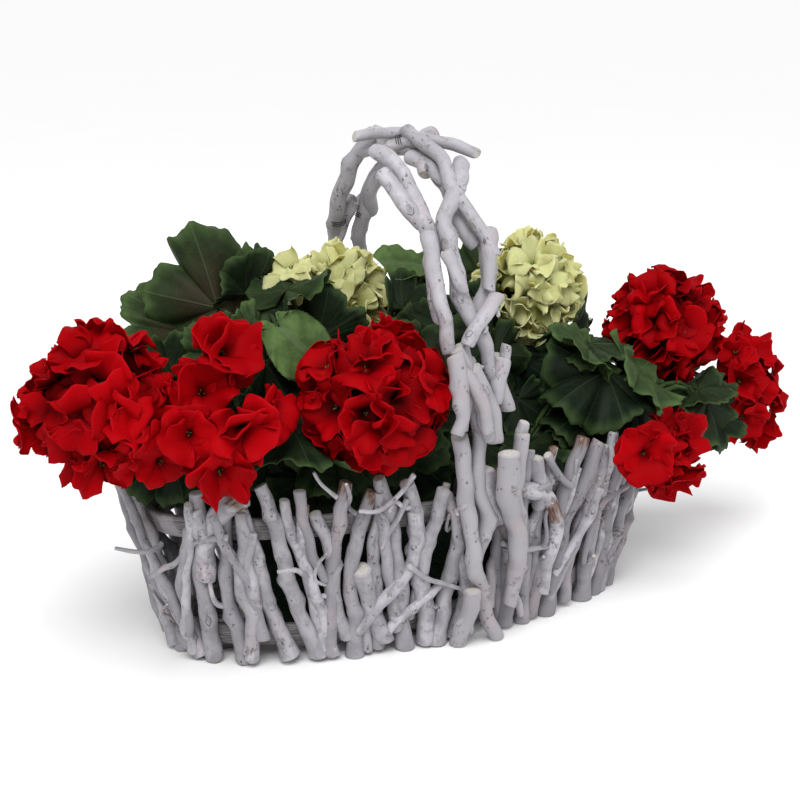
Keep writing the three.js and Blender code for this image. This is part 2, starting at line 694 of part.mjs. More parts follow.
/** A lobed, pleated leaf whose lobes fan out from its junction, with its petiole back to the stem. */
function leaf(root, [junction, tip, face, over], random) {
  const size = tip.distanceTo(junction);
  const along = tip.clone().sub(junction).normalize();
  const up = face.clone().addScaledVector(along, -face.dot(along)).normalize();
  const basis = new THREE.Matrix4().makeBasis(along, up.clone().cross(along), up);
  const rim = [];
  for (let lobe = 0; lobe < LOBES; lobe++) {
    for (const [offset, reach, lift] of [[-0.5, 0.8, -0.5], [-0.2, 1, 0.4], [0.2, 1, 0.4]]) {
      if (lobe === 0 && offset === -0.5) continue;
      const angle = radians((LOBED_SPAN * (lobe + 0.5 + offset)) / LOBES - LOBED_SPAN / 2);
      const far = size * reach * (1 - 0.24 * (Math.abs(angle) / Math.PI) ** 2) * (0.96 + 0.08 * random());
      const height = size * (0.09 * lift - 0.16 * (far / size) ** 2);
      rim.push(vec(far * Math.cos(angle), far * Math.sin(angle), height));
    }
  }
  rim.push(vec(-0.25 * size, 0, 0));
  const edge = rim.map((p) => clearOfHeads(p.applyMatrix4(basis).add(junction), LEAF_ROOM));
  const behind = up.clone().negate();
  const { base, fork } = roots[root];
  const foot = base.clone().setZ(FORK_FROM).lerp(fork, 0.25 + 0.7 * random());
  const bend = junction.clone().addScaledVector(behind, 12);
  const halfway = over ?? bend.clone().lerp(foot, 0.5).add(vec(0, 0, 5));
  const path = smooth([junction, bend, halfway, foot], 3);
  return stalkedBlade(junction, edge, behind, LEAF_THICKNESS, path, PETIOLE_RADIUS);
}

/** A green stalk from a stem's fork, over the points `over`, to the foot of a flower head at `end`. */
function stalk(root, end, arrive, radius, over) {
  const { fork } = roots[root];
  const way = over ?? [fork.clone().lerp(end, 0.5).add(vec(0, 0, 6))];
  const before = end.clone().addScaledVector(arrive, -14);
  return tapered([fork.clone().add(vec(0, 0, -6)), ...way, before, end], 4, radius * 1.2, radius, 3);
}

const headRandom = seeded(7);
const FLORETS = 9; // on a dense head, besides the place at its stem
const KNOT_RADIUS = 6; // where a loose head's stalks meet
const FLORET_ROOM = 3; // between a loose floret and a dense head
const PETAL_GAP = 0.7; // between neighbouring florets' rims

/** Directions spread evenly over a ball, the last of them towards `down`. */
function spread(count, down) {
  const turn = new THREE.Quaternion().setFromUnitVectors(vec(0, 0, -1), down);
  return Array.from({ length: count }, (_, k) => {
    const height = 1 - (2 * k) / (count - 1);
    const round = Math.sqrt(Math.max(0, 1 - height * height));
    const angle = k * Math.PI * (3 - Math.sqrt(5));
    return vec(round * Math.cos(angle), round * Math.sin(angle), height).applyQuaternion(turn);
  });
}

for (const { name, at, radius, petals, root } of heads) {
  const down = roots[root].fork.clone().sub(at).normalize();
  const facings = spread(FLORETS + 1, down);
  const pieces = [ball(at, radius * CORE_SHARE, down)];
  facings.slice(0, FLORETS).forEach((facing) => {
    const others = facings.filter((other) => other !== facing);
    const within = (point) => {
      for (const other of others) {
        const towards = other.clone().sub(facing).normalize();
        const over = point.clone().sub(at).dot(towards) + PETAL_GAP;
        if (over > 0) point.addScaledVector(towards, -over);
      }
      const reach = radius * (0.92 + 0.08 * headRandom());
      return point.sub(at).clampLength(0, reach).add(at);
    };
    const throat = at.clone().addScaledVector(facing, radius * CORE_SHARE + 2);
    const rim = floretRim(throat, facing, radius * 0.66, 0.45, headRandom, within);
    pieces.push(blade(throat, rim, facing.clone().negate(), PETAL_THICKNESS, 9));
  });
  add(name, fused(pieces), materials[petals]);
}

/** The direction from a loose head's knot to the stalk that carries it. */
function headFoot({ knot, root, over }) {
  return (over ? over[over.length - 1] : roots[root].fork).clone().sub(knot).normalize();
}

for (const head of looseHeads) {
  const { name, knot, florets } = head;
  const down = headFoot(head);
  const pieces = [ball(knot, KNOT_RADIUS, down, 0)];
  for (const [throat, towards, radius] of florets) {
    const facing = towards.clone().normalize();
    const behind = facing.clone().negate();
    const rim = floretRim(throat, facing, radius, 0.3, headRandom, (p) => clearOfHeads(p, FLORET_ROOM));
    const path = smooth([throat, throat.clone().addScaledVector(behind, 9), knot], 3);
    pieces.push(stalkedBlade(throat, rim, behind, PETAL_THICKNESS, path, PETIOLE_RADIUS));
  }
  add(name, fused(pieces), materials.red);
}

const leafRandom = seeded(19);
for (const root of Object.keys(roots)) {
  const { base, fork } = roots[root];
  const foot = base.clone().setZ(SLAT_THICKNESS + 2);
  const line = [foot, base.clone().setZ(FORK_FROM), fork, fork.clone().add(vec(0, 0, 4))];
  const pieces = [branch(line, [STEM_RADIUS, STEM_RADIUS, STEM_RADIUS, 2], 6)];
  for (const head of heads.filter((one) => one.root === root)) {
    const down = fork.clone().sub(head.at).normalize();
    const end = head.at.clone().addScaledVector(down, head.radius * CORE_SHARE + CLEARANCE);
    pieces.push(stalk(root, end, down.negate(), PETIOLE_RADIUS * 1.3));
  }
  for (const head of looseHeads.filter((one) => one.root === root)) {
    const down = headFoot(head);
    const end = head.knot.clone().addScaledVector(down, KNOT_RADIUS + CLEARANCE);
    pieces.push(stalk(root, end, down.clone().negate(), PETIOLE_RADIUS * 1.2, head.over));
  }
  for (const shape of leaves[root]) pieces.push(leaf(root, shape, leafRandom));
  add(`leafy_stem_${root}`, fused(pieces), materials.green);
}

// ---------------------------------------------------------------- foam
const HOLE_CORNERS = 8;
const HOLE_RADIUS = (STEM_RADIUS + CLEARANCE) / Math.cos(Math.PI / HOLE_CORNERS);
const block = new THREE.Shape();
block.absellipse(0, 0, FOAM_HALF_LENGTH, FOAM_HALF_WIDTH, 0, 2 * Math.PI);
for (const { base } of Object.values(roots)) {
  const hole = new THREE.Path();
  hole.absellipse(base.x, base.y, HOLE_RADIUS, HOLE_RADIUS, 0, 2 * Math.PI);
  block.holes.push(hole);
}
const extrusion = { depth: FOAM_HEIGHT, bevelEnabled: false, curveSegments: HOLE_CORNERS / 2 };
const foam = new THREE.ExtrudeGeometry(block, extrusion);
foam.translate(0, 0, SLAT_THICKNESS + CLEARANCE);
add("foam_block", foam, materials.foam);

export default arrangement;
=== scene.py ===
import logging
import math
from collections.abc import Callable
from dataclasses import dataclass, field
from enum import Enum
from functools import partial

import bpy
import numpy as np
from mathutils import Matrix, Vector


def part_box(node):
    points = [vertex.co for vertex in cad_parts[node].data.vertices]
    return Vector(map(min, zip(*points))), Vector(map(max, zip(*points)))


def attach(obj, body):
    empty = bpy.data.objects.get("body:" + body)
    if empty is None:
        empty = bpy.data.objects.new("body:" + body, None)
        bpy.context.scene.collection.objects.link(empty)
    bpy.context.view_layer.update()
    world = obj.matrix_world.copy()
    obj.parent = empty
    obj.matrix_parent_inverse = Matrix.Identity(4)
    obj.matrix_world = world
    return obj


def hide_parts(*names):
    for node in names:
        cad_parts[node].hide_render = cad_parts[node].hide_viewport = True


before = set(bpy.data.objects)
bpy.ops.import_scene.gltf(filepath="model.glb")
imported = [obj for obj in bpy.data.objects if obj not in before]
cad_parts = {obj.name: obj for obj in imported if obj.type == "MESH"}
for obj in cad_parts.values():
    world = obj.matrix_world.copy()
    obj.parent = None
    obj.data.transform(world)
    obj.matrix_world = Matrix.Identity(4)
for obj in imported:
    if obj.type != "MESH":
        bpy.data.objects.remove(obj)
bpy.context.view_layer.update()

MM = 0.001  # shapes are worked out in millimetres and placed in metres
TAU = 2 * math.pi
BODY = "root"
LOG = logging.getLogger("flower_basket")

Points = np.ndarray
Place = tuple[float, float, float]
Pair = tuple[float, float]
Frames = tuple[Points, Points, Points]
Socket = bpy.types.NodeSocket
Rng = np.random.Generator
Moves = Callable[[Points], Points]
RoundWall = Callable[[float, float, float], float]


# --- small helpers
def unit(vector: Points) -> Points:
    """Returns the vector, or each row of an array, at length one."""
    length = np.linalg.norm(vector, axis=-1, keepdims=True)
    return vector / np.maximum(length, 1e-9)


def lerp(a: float, b: float, share: float) -> float:
    """Returns the value at a share of the way from a to b."""
    return a + (b - a) * share


def smoothstep(x: Points | float, low: float, high: float) -> Points | float:
    """Returns a smooth rise from 0 at low to 1 at high."""
    t = np.clip((x - low) / (high - low), 0, 1)
    return t * t * (3 - 2 * t)


def catmull(knots: Points, t: Points) -> Points:
    """Evaluates an even Catmull-Rom line through knots.

    Args:
        knots: The points that the line passes through.
        t: Places along it, from 0 to 1.

    Returns:
        One point for each place.
    """
    ends = np.vstack([2 * knots[0] - knots[1], knots, 2 * knots[-1] - knots[-2]])
    at = np.clip(t, 0, 1) * (len(knots) - 1)
    i = np.minimum(at.astype(int), len(knots) - 2)
    w = (at - i)[:, None]
    a, b, c, d = ends[i], ends[i + 1], ends[i + 2], ends[i + 3]
    return b + 0.5 * w * (c - a + w * (2 * a - 5 * b + 4 * c - d + w * (3 * (b - c) + d - a)))


def ways_along(line: Points) -> Points:
    """Returns how far along a line of points each of them lies."""
    return np.concatenate([[0], np.cumsum(np.linalg.norm(np.diff(line, axis=0), axis=1))])


def evenly(knots: Points, pieces: int) -> Points:
    """Places points at even distances along a smooth line.

    Args:
        knots: The points that the line passes through.
        pieces: How many stretches the line is cut into.

    Returns:
        One point more than there are stretches.
    """
    fine = np.linspace(0, 1, 201)
    line = catmull(np.asarray(knots, float), fine)
    length = ways_along(line)
    even = np.interp(np.linspace(0, length[-1], pieces + 1), length, fine)
    return catmull(np.asarray(knots, float), even)


def headings(line: Points) -> Points:
    """Returns a line's unit direction at each of its points."""
    padded = np.vstack([line[:1], line, line[-1:]])
    return unit(padded[2:] - padded[:-2])


def frames_along(line: Points) -> Frames:
    """Carries a pair of square directions along a line without twisting.

    Args:
        line: The points of the line.

    Returns:
        The headings and two directions square to them, a row for each point.
    """
    heading = headings(line)
    start = np.array([0.31, 0.87, 0.39]) if abs(heading[0][2]) > 0.8 else np.array([0.1, 0.2, 1.0])
    across = np.zeros_like(line)
    for i, direction in enumerate(heading):
        start = unit(start - direction * (start @ direction))
        across[i] = start
    return heading, across, np.cross(heading, across)


def basis_from(axis: Points, near: Points) -> Points:
    """Builds three square directions.

    Args:
        axis: The third direction.
        near: Roughly the first direction.

    Returns:
        A matrix with the three directions as its rows.
    """
    third = unit(np.asarray(axis, float))
    first = unit(np.asarray(near, float) - third * (np.asarray(near, float) @ third))
    return np.array([first, np.cross(third, first), third])


def around_ball(count: int, down: Points) -> Points:
    """Spreads directions evenly over a ball.

    Args:
        count: How many directions there are.
        down: Where the last of them points.

    Returns:
        A unit direction in each row.
    """
    k = np.arange(count)
    height = 1 - 2 * k / (count - 1)
    around = k * math.pi * (3 - math.sqrt(5))
    ring = np.sqrt(np.maximum(0, 1 - height**2))
    local = np.stack([ring * np.cos(around), ring * np.sin(around), height], 1)
    return local @ basis_from(-down, np.array([0.3, 0.9, 0.2]))


@dataclass
class Draws:
    """The repeatable source of numbers that the solids were laid out with."""

    state: int

    def next(self) -> float:
        """Draws a number.

        Returns:
            The next number between 0 and 1.
        """
        full = 0xFFFFFFFF
        self.state = (self.state + 0x6D2B79F5) & full
        mixed = ((self.state ^ (self.state >> 15)) * (1 | self.state)) & full
        mixed = ((mixed + (((mixed ^ (mixed >> 7)) * (61 | mixed)) & full)) & full) ^ mixed
        return ((mixed ^ (mixed >> 14)) & full) / (full + 1)

    def wander(self, size: float) -> Callable[[float], float]:
        """Draws a gentle wander about zero, a sum of two sines.

        Args:
            size: How far it goes at most.

        Returns:
            The wander, as a function of the share of the way.
        """
        first, second = self.next() * 6.28, self.next() * 6.28
        return lambda share: size * (
            0.65 * math.sin(first + 4.5 * share) + 0.35 * math.sin(second + 9.5 * share)
        )


# --- meshes
def stand(
    name: str, data: bpy.types.ID, place: Place = (0, 0, 0), toward: Vector | None = None
) -> bpy.types.Object:
    """Puts a new object into the scene.

    Args:
        name: Its name.
        data: Its mesh, light or camera.
        place: Where it stands.
        toward: Where a light or a camera looks.

    Returns:
        The object.
    """
    made = bpy.data.objects.new(name, data)
    bpy.context.scene.collection.objects.link(made)
    made.location = place
    if toward:
        made.rotation_mode = "QUATERNION"
        made.rotation_quaternion = toward.to_track_quat("-Z", "Y")
    return made


@dataclass
class Surface:
    """Points, faces and values of a mesh while it is put together, in millimetres."""

    points: list[Points] = field(default_factory=list)
    faces: list[list[int]] = field(default_factory=list)
    values: list[dict[str, Points | float]] = field(default_factory=list)
    count: int = 0

    def add(self, points: Points, faces: Points, **values: Points | float) -> None:
        """Adds a patch.

        Args:
            points: Its points, a row each.
            faces: Its faces, as rows of numbers of its own points.
            values: A number or a vector for each point, or one number for all.
        """
        self.points.append(points)
        self.faces += (np.asarray(faces) + self.count).tolist()
        self.values.append(values)
        self.count += len(points)

    def close_ends(self, size: int, sides: int) -> None:
        """Closes both ends of the tube of that many points and sides that was added last."""
        first, last = self.count - size, self.count - sides
        self.faces += [list(range(first, first + sides))[::-1], list(range(last, self.count))]

    def as_object(
        self, name: str, finish: "Finish", replaces: tuple[str, ...] = (),
        thickness: float = 0, crease: float = 180,
    ) -> None:
        """Makes the piece, dresses it and sets it on the frame.

        Args:
            name: The piece's name.
            finish: What it is dressed in.
            replaces: Nodes of the frame that it stands for.
            thickness: How thick its sheets become.
            crease: The angle past which an edge is sharp, in degrees.
        """
        mesh = bpy.data.meshes.new(name)
        mesh.from_pydata((np.vstack(self.points) * MM).tolist(), [], self.faces)
        for label in dict.fromkeys(key for values in self.values for key in values):
            given = [values.get(label, 0.0) for values in self.values]
            wide = any(np.ndim(part) == 2 for part in given)
            sizes = [(len(part), 3) if wide else len(part) for part in self.points]
            data = np.concatenate([np.broadcast_to(part, size) for part, size in zip(given, sizes)])
            store = mesh.attributes.new(label, "FLOAT_VECTOR" if wide else "FLOAT", "POINT").data
            store.foreach_set("vector" if wide else "value", data.astype(np.float32).ravel())
        mesh.validate()
        mesh.polygons.foreach_set("use_smooth", np.ones(len(mesh.polygons), bool))
        if crease < 180:
            mesh.set_sharp_from_angle(angle=math.radians(crease))
        mesh.materials.append(finish.material())
        piece = stand(name, mesh)
        if thickness:
            sheet = piece.modifiers.new("thickness", "SOLIDIFY")
            sheet.thickness = thickness * MM
            sheet.offset = 0
        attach(piece, BODY)
        if replaces:
            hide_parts(*replaces)
        LOG.info("%s: %d points, stands for %s", name, self.count, ", ".join(replaces) or "nothing")


def grid_faces(rows: int, columns: int, closed: bool = False) -> Points:
    """Joins rows of points with four-sided faces.

    Args:
        rows: How many rows there are.
        columns: How many points a row has.
        closed: Whether each row closes on itself.

    Returns:
        The faces, as rows of four points' numbers.
    """
    r, c = np.meshgrid(np.arange(rows - 1), np.arange(columns if closed else columns - 1), indexing="ij")
    here, beside = r * columns + c, r * columns + (c + 1) % columns
    return np.stack([here, beside, beside + columns, here + columns], -1).reshape(-1, 4)


def tube(surface: Surface, line: Points, radii: Points, sides: int = 6, **values: Points | float) -> None:
    """Adds a closed plain tube.

    Args:
        surface: Where it goes.
        line: The points of its middle.
        radii: Its radius at each of them.
        sides: How many sides it has.
        values: Values for all its points.
    """
    _, across, beside = frames_along(line)
    around = (TAU * np.arange(sides) / sides)[None, :, None]
    ring = across[:, None] * np.cos(around) + beside[:, None] * np.sin(around)
    radii = np.broadcast_to(radii, len(line))
    points = (line[:, None] + ring * radii[:, None, None]).reshape(-1, 3)
    surface.add(points, grid_faces(len(line), sides, closed=True), **values)
    surface.close_ends(len(points), sides)


# --- finishes
class Slot(str, Enum):
    """The record's material slots."""

    BRANCHES = "branches"
    STRIPS = "strips"
    RED = "red_petals"
    CREAM = "cream_petals"
    LEAVES = "leaves"
    FOAM = "foam"


class Pen:
    """Draws a material's nodes, with a short method for each kind."""

    def __init__(self, name: str) -> None:
        """Starts an empty material.

        Args:
            name: Its name.
        """
        self.material = bpy.data.materials.new(name)
        self.material.use_nodes = True
        self.tree = self.material.node_tree
        self.shader = self.tree.nodes["Principled BSDF"]
        self.colour: Socket | Place = (1, 1, 1)

    def node(
        self, kind: str, inputs: dict[str | int, object] | None = None, **settings: object
    ) -> bpy.types.Node:
        """Adds a node.

        Args:
            kind: Its type, without the leading ShaderNode.
            inputs: Values or other nodes' sockets for its inputs.
            settings: Its own settings.

        Returns:
            The node.
        """
        made = self.tree.nodes.new("ShaderNode" + kind)
        for key, value in settings.items():
            setattr(made, key, value)
        for key, value in (inputs or {}).items():
            if isinstance(value, Socket):
                self.tree.links.new(value, made.inputs[key])
            else:
                made.inputs[key].default_value = value
        return made

    def value(self, name: str) -> Socket:
        """Returns a number kept with the mesh's points."""
        return self.node("Attribute", attribute_name=name).outputs["Fac"]

    def vector(self, name: str, stretch: Place = (1, 1, 1)) -> Socket:
        """Returns a vector kept with the mesh's points, each direction times a factor."""
        place = self.node("Attribute", attribute_name=name).outputs["Vector"]
        return self.node("VectorMath", {0: place, 1: stretch}, operation="MULTIPLY").outputs[0]

    def place(self) -> Socket:
        """Returns the place on the object."""
        return self.node("TexCoord").outputs["Object"]

    def noise(self, at: Socket, scale: float, detail: float = 3, rough: float = 0.5) -> Socket:
        """Returns a cloudy pattern between 0 and 1."""
        inputs = {"Vector": at, "Scale": scale, "Detail": detail, "Roughness": rough}
        return self.node("TexNoise", inputs).outputs["Fac"]

    def cells(self, at: Socket, scale: float) -> Socket:
        """Returns the distance to the nearest of scattered points."""
        return self.node("TexVoronoi", {"Vector": at, "Scale": scale}).outputs["Distance"]

    def band(self, value: Socket, low: float, high: float) -> Socket:
        """Returns a smooth step from 0 at low to 1 at high, which may lie below low."""
        inputs = {"Value": value, "From Min": low, "From Max": high}
        return self.node("MapRange", inputs, interpolation_type="SMOOTHSTEP").outputs["Result"]

    def math(self, operation: str, a: object, b: object = 0.0) -> Socket:
        """Returns a sum or another operation on two values."""
        return self.node("Math", {0: a, 1: b}, operation=operation).outputs[0]

    def times(self, a: Socket, b: object) -> Socket:
        """Returns the product of two values."""
        return self.math("MULTIPLY", a, b)

    def mix(self, share: Socket, a: object, b: object, strength: float = 1) -> Socket:
        """Mixes two colours.

        Args:
            share: How far the second colour shows.
            a: The first colour, or the socket that gives it.
            b: The second one.
            strength: A factor for the share.

        Returns:
            The colour between them.
        """
        if strength != 1:
            share = self.times(share, strength)
        colours = {6 + k: (*c, 1) if isinstance(c, tuple) else c for k, c in enumerate((a, b))}
        return self.node("Mix", {0: share, **colours}, data_type="RGBA").outputs[2]

    def cover(self, share: Socket, over: object, strength: float = 1) -> None:
        """Lays another colour over the base colour, by a share."""
        self.colour = self.mix(share, self.colour, over, strength)

    def bump(self, height: Socket, depth: float, strength: float = 1) -> None:
        """Adds relief.

        Args:
            height: The relief, where 1 is high.
            depth: How deep it is, in millimetres.
            strength: How strongly it shades.
        """
        inputs = {"Height": height, "Distance": depth * MM, "Strength": strength}
        if self.shader.inputs["Normal"].is_linked:
            inputs["Normal"] = self.shader.inputs["Normal"].links[0].from_socket
        self.wire(self.node("Bump", inputs).outputs["Normal"], "Normal")

    def wire(self, value: Socket, name: str) -> None:
        """Leads a value into the shader's input of that name."""
        self.tree.links.new(value, self.shader.inputs[name])

    def fix(self, **values: float | tuple[float, ...]) -> None:
        """Sets the shader's own values; underscores stand for spaces."""
        for name, value in values.items():
            self.shader.inputs[name.replace("_", " ")].default_value = value


@dataclass(frozen=True)
class Finish:
    """How a surface looks, and its slot. Each kind draws its own nodes."""

    name: str
    slot: Slot

    def draw(self, pen: Pen) -> None:
        """Draws the finish's nodes."""
        raise NotImplementedError

    def material(self) -> bpy.types.Material:
        """Makes the material at its first use.

        Returns:
            The material.
        """
        found = bpy.data.materials.get(self.name)
        if found:
            return found
        pen = Pen(self.name)
        self.draw(pen)
        pen.wire(pen.colour, "Base Color")
        return pen.material


@dataclass(frozen=True)
class Whitewash(Finish):
    """Satin lilac-grey paint on smooth bark, with marks at the knots, pale cut faces and some painted
    shade.
    """

    paint: Place = (0.455, 0.444, 0.475)
    # Thin paint in patches and streaks; the same grey is also laid on as painted shade.
    thin: Place = (0.215, 0.206, 0.225)
    blush: Place = (0.37, 0.3, 0.31)
    worn: Place = (0.2, 0.15, 0.125)
    crack: Place = (0.05, 0.042, 0.04)
    cut_face: Place = (0.53, 0.51, 0.48)
    rot: Place = (0.095, 0.034, 0.02)
    # Share of painted shade on the low parts, where the handle dips among the flowers.
    low_shade: float = 0.0

    def draw(self, pen: Pen) -> None:
        """Draws paint over bark that runs along each branch.

        Args:
            pen: Draws the nodes.
        """
        band, cover, noise, times, value = pen.band, pen.cover, pen.noise, pen.times, pen.value
        bark = pen.vector("grain")
        fibre = pen.vector("grain", (1, 1, 0.14))
        short = pen.vector("grain", (1, 1, 0.4))
        cloud = noise(bark, 60, 3, 0.55)
        streaks = noise(fibre, 420, 4, 0.6)
        pen.colour = self.paint
        cover(band(cloud, 0.6, 0.38), self.thin, 0.65)
        cover(band(noise(bark, 210, 3), 0.52, 0.68), self.thin, 0.6)
        # A random darker tone per branch, plus painted shade on the uprights at the wall's right side.
        cover(value("age"), self.thin)
        # Painted shade: darker towards the bottom of the handle, where it dips among the flowers.
        low_shade_mask = band(pen.node("SeparateXYZ", {0: pen.place()}).outputs[2], 0.25, 0.16)
        cover(low_shade_mask, self.thin, self.low_shade)
        cover(band(noise(bark, 30, 2), 0.56, 0.72), self.blush, 0.45)
        cover(band(streaks, 0.5, 0.68), self.thin, 0.3)
        rough_place = noise(bark, 38, 3, 0.6)
        near_knot = pen.math("MAXIMUM", band(rough_place, 0.52, 0.63), value("collar"))
        wear = times(band(noise(bark, 150, 4, 0.65), 0.56, 0.68), near_knot)
        cover(wear, self.worn, 0.55)
        split = pen.math("ABSOLUTE", pen.math("SUBTRACT", noise(short, 330, 3, 0.6), 0.5))
        cracks = times(band(split, 0.022, 0.006), near_knot)
        cracks = times(cracks, band(noise(bark, 190, 2), 0.46, 0.56))
        dots = band(pen.cells(pen.vector("grain", (1, 1, 0.8)), 260), 0.26, 0.11)
        scattered = pen.math("MAXIMUM", near_knot, band(noise(bark, 95, 2), 0.56, 0.63))
        specks = times(dots, times(scattered, 0.85))
        circles = band(pen.math("FRACT", times(value("collar"), 3.4)), 0.16, 0.05)
        circles = times(circles, band(value("collar"), 0.36, 0.5))
        circles = times(circles, band(noise(bark, 300, 2), 0.38, 0.52))
        cracks = pen.math("MAXIMUM", cracks, circles)
        dark = pen.math("MAXIMUM", pen.math("MAXIMUM", cracks, specks), value("knot"))
        cover(dark, self.crack, 0.8)
        rings = noise(bark, 900, 3)
        face = pen.mix(band(rings, 0.4, 0.75), self.cut_face, self.worn, 0.4)
        cover(value("cut"), face)
        decay = pen.mix(band(noise(fibre, 700, 4), 0.4, 0.62), self.rot, self.worn)
        cover(value("rot"), decay)
        pen.wire(pen.math("ADD", times(cloud, 0.25), 0.42), "Roughness")
        pen.fix(Specular_IOR_Level=0.35)
        relief = pen.math("ADD", times(streaks, 0.35), times(cloud, 0.8))
        pen.bump(pen.math("SUBTRACT", relief, dark), 0.7, 0.8)


@dataclass(frozen=True)
class Board(Finish):
    """Bare sawn strips gone grey, with grain along them."""

    pale: Place = (0.27, 0.255, 0.26)
    dark: Place = (0.1, 0.09, 0.092)
    paint: Place = (0.38, 0.37, 0.39)

    def draw(self, pen: Pen) -> None:
        """Draws long grain with dark pores and traces of paint.

        Args:
            pen: Draws the nodes.
        """
        grain = pen.vector("grain", (0.05, 1, 1))
        lines = pen.noise(grain, 900, 5, 0.65)
        pen.colour = pen.mix(pen.band(lines, 0.35, 0.65), self.dark, self.pale)
        pen.cover(pen.band(pen.noise(pen.place(), 55, 4), 0.5, 0.62), self.paint, 0.6)
        pen.fix(Roughness=0.85, Specular_IOR_Level=0.2)
        pen.bump(lines, 0.5, 0.7)


@dataclass(frozen=True)
class Petal(Finish):
    """Dyed cloth petals, with painted shade deep down and a painted highlight along the very rim."""

    # throat is painted shade deep in each floret's funnel; rim is a painted highlight along the edge.
    throat: Place = (0.03, 0.0, 0.0006)
    blade: Place = (0.31, 0.0004, 0.0024)
    rim: Place = (0.44, 0.007, 0.014)
    gloss: float = 0.03
    glow: float = 0.0
    glow_reach: Place = (0.004, 0.003, 0.0012)

    def draw(self, pen: Pen) -> None:
        """Draws painted shade from throat to rim and deep inside the head, a painted highlight at the rim,
        ribs and weave.

        Args:
            pen: Draws the nodes.
        """
        band, times, value = pen.band, pen.times, pen.value
        reach = value("reach")
        blotch = pen.noise(pen.place(), 70, 3)
        # Painted shade: each petal darkens towards its floret's throat, and towards the head's middle where
        # the open value is low.
        deep = band(pen.math("ADD", reach, times(blotch, 0.3)), 0.1, 0.7)
        pen.colour = pen.mix(times(deep, value("open")), self.throat, self.blade)
        # Painted highlight along the very rim, weaker where the open value is low.
        edge = times(band(value("rim"), 0.95, 1), value("open"))
        pen.cover(edge, self.rim, 0.3)
        toned = pen.node("HueSaturation", {"Color": pen.colour, "Value": value("tone")})
        pen.colour = toned.outputs[0]
        pen.fix(Roughness=0.6, Specular_IOR_Level=self.gloss)
        pen.fix(Subsurface_Weight=self.glow, Subsurface_Radius=self.glow_reach, Subsurface_Scale=1.0)
        ribs = pen.math("SINE", times(value("across"), 26))
        pen.bump(times(ribs, band(reach, 0.95, 0.2)), 0.12, 0.5)
        weave = pen.noise(pen.place(), 2600, 1)
        pen.bump(pen.math("ADD", weave, times(blotch, 2)), 0.12, 0.6)


@dataclass(frozen=True)
class Greenery(Finish):
    """Coated dark leaves with fine veins, a brighter edge and a russet zone on some."""

    dark: Place = (0.0022, 0.0075, 0.004)
    fresh: Place = (0.105, 0.175, 0.055)
    vein: Place = (0.1, 0.15, 0.075)
    russet: Place = (0.03, 0.017, 0.011)
    gloss: float = 0.08

    def draw(self, pen: Pen) -> None:
        """Draws the blade's shades, its main and side veins and its edge.

        Args:
            pen: Draws the nodes.
        """
        band, times, value = pen.band, pen.times, pen.value
        reach = value("reach")
        lobe = pen.math("ABSOLUTE", value("lobe"))
        tone = value("tone")
        blotch = pen.noise(pen.place(), 85, 4, 0.6)
        mottled = times(band(blotch, 0.28, 0.76), 0.8)
        fresh = times(tone, pen.math("ADD", mottled, 0.55))
        edge = times(band(reach, 0.8, 1), value("blade"))
        fresh = pen.math("ADD", fresh, times(edge, 0.26))
        pen.colour = pen.mix(fresh, self.dark, self.fresh)
        zone = times(band(reach, 0.95, 0.3), value("russet"))
        pen.cover(zone, self.russet)
        width = times(lobe, reach)
        main = band(width, 0.026, 0.008)
        slant = pen.math("SUBTRACT", times(reach, 7.0), times(lobe, 2.2))
        line = pen.math("ABSOLUTE", pen.math("SUBTRACT", pen.math("FRACT", slant), 0.5))
        side = times(band(line, 0.05, 0.012), 0.5)
        veins = times(pen.math("MAXIMUM", main, side), value("blade"))
        share = times(veins, pen.math("ADD", times(tone, 0.5), 0.15))
        pen.cover(share, self.vein)
        pen.wire(pen.math("ADD", times(blotch, 0.25), 0.4), "Roughness")
        pen.fix(Specular_IOR_Level=self.gloss)
        pen.bump(veins, 0.5, 0.7)
        pen.bump(pen.noise(pen.place(), 900, 3), 0.12, 0.6)


@dataclass(frozen=True)
class Sponge(Finish):
    """Green flower foam with open pores, darkened to near-black as painted shade inside the basket."""

    pit: Place = (0.004, 0.008, 0.005)
    # Near-black green: painted shade inside the basket, laid over the foam's own green.
    colour: Place = (0.012, 0.024, 0.013)

    def draw(self, pen: Pen) -> None:
        """Draws a mottled green with pits.

        Args:
            pen: Draws the nodes.
        """
        pits = pen.cells(pen.place(), 700)
        pen.colour = pen.mix(pen.band(pits, 0.15, 0.5), self.pit, self.colour)
        pen.fix(Roughness=0.95, Specular_IOR_Level=0.1)
        pen.bump(pits, 0.8, 0.9)


@dataclass(frozen=True)
class BlackWire(Finish):
    """Thin annealed wire, dark and slightly shiny."""

    metal: Place = (0.03, 0.028, 0.03)
    rust: Place = (0.11, 0.06, 0.035)

    def draw(self, pen: Pen) -> None:
        """Draws dark metal with a little rust.

        Args:
            pen: Draws the nodes.
        """
        rust = pen.band(pen.noise(pen.place(), 400, 3), 0.5, 0.7)
        pen.colour = pen.mix(rust, self.metal, self.rust)
        pen.fix(Metallic=0.8, Roughness=0.5)
        pen.bump(rust, 0.05, 0.5)


WHITEWASH = Whitewash("whitewashed_bark", Slot.BRANCHES)
# A lighter copy of the bark paint for the handle: painted light on its high parts, with painted shade low
# down.
LIT_WHITEWASH = Whitewash(
    "whitewashed_handle",
    Slot.BRANCHES,
    paint=(0.475, 0.463, 0.495),
    thin=(0.33, 0.318, 0.343),
    low_shade=0.9,
)
BOARD = Board("grey_strip", Slot.STRIPS)
RED = Petal("red_petal_cloth", Slot.RED)
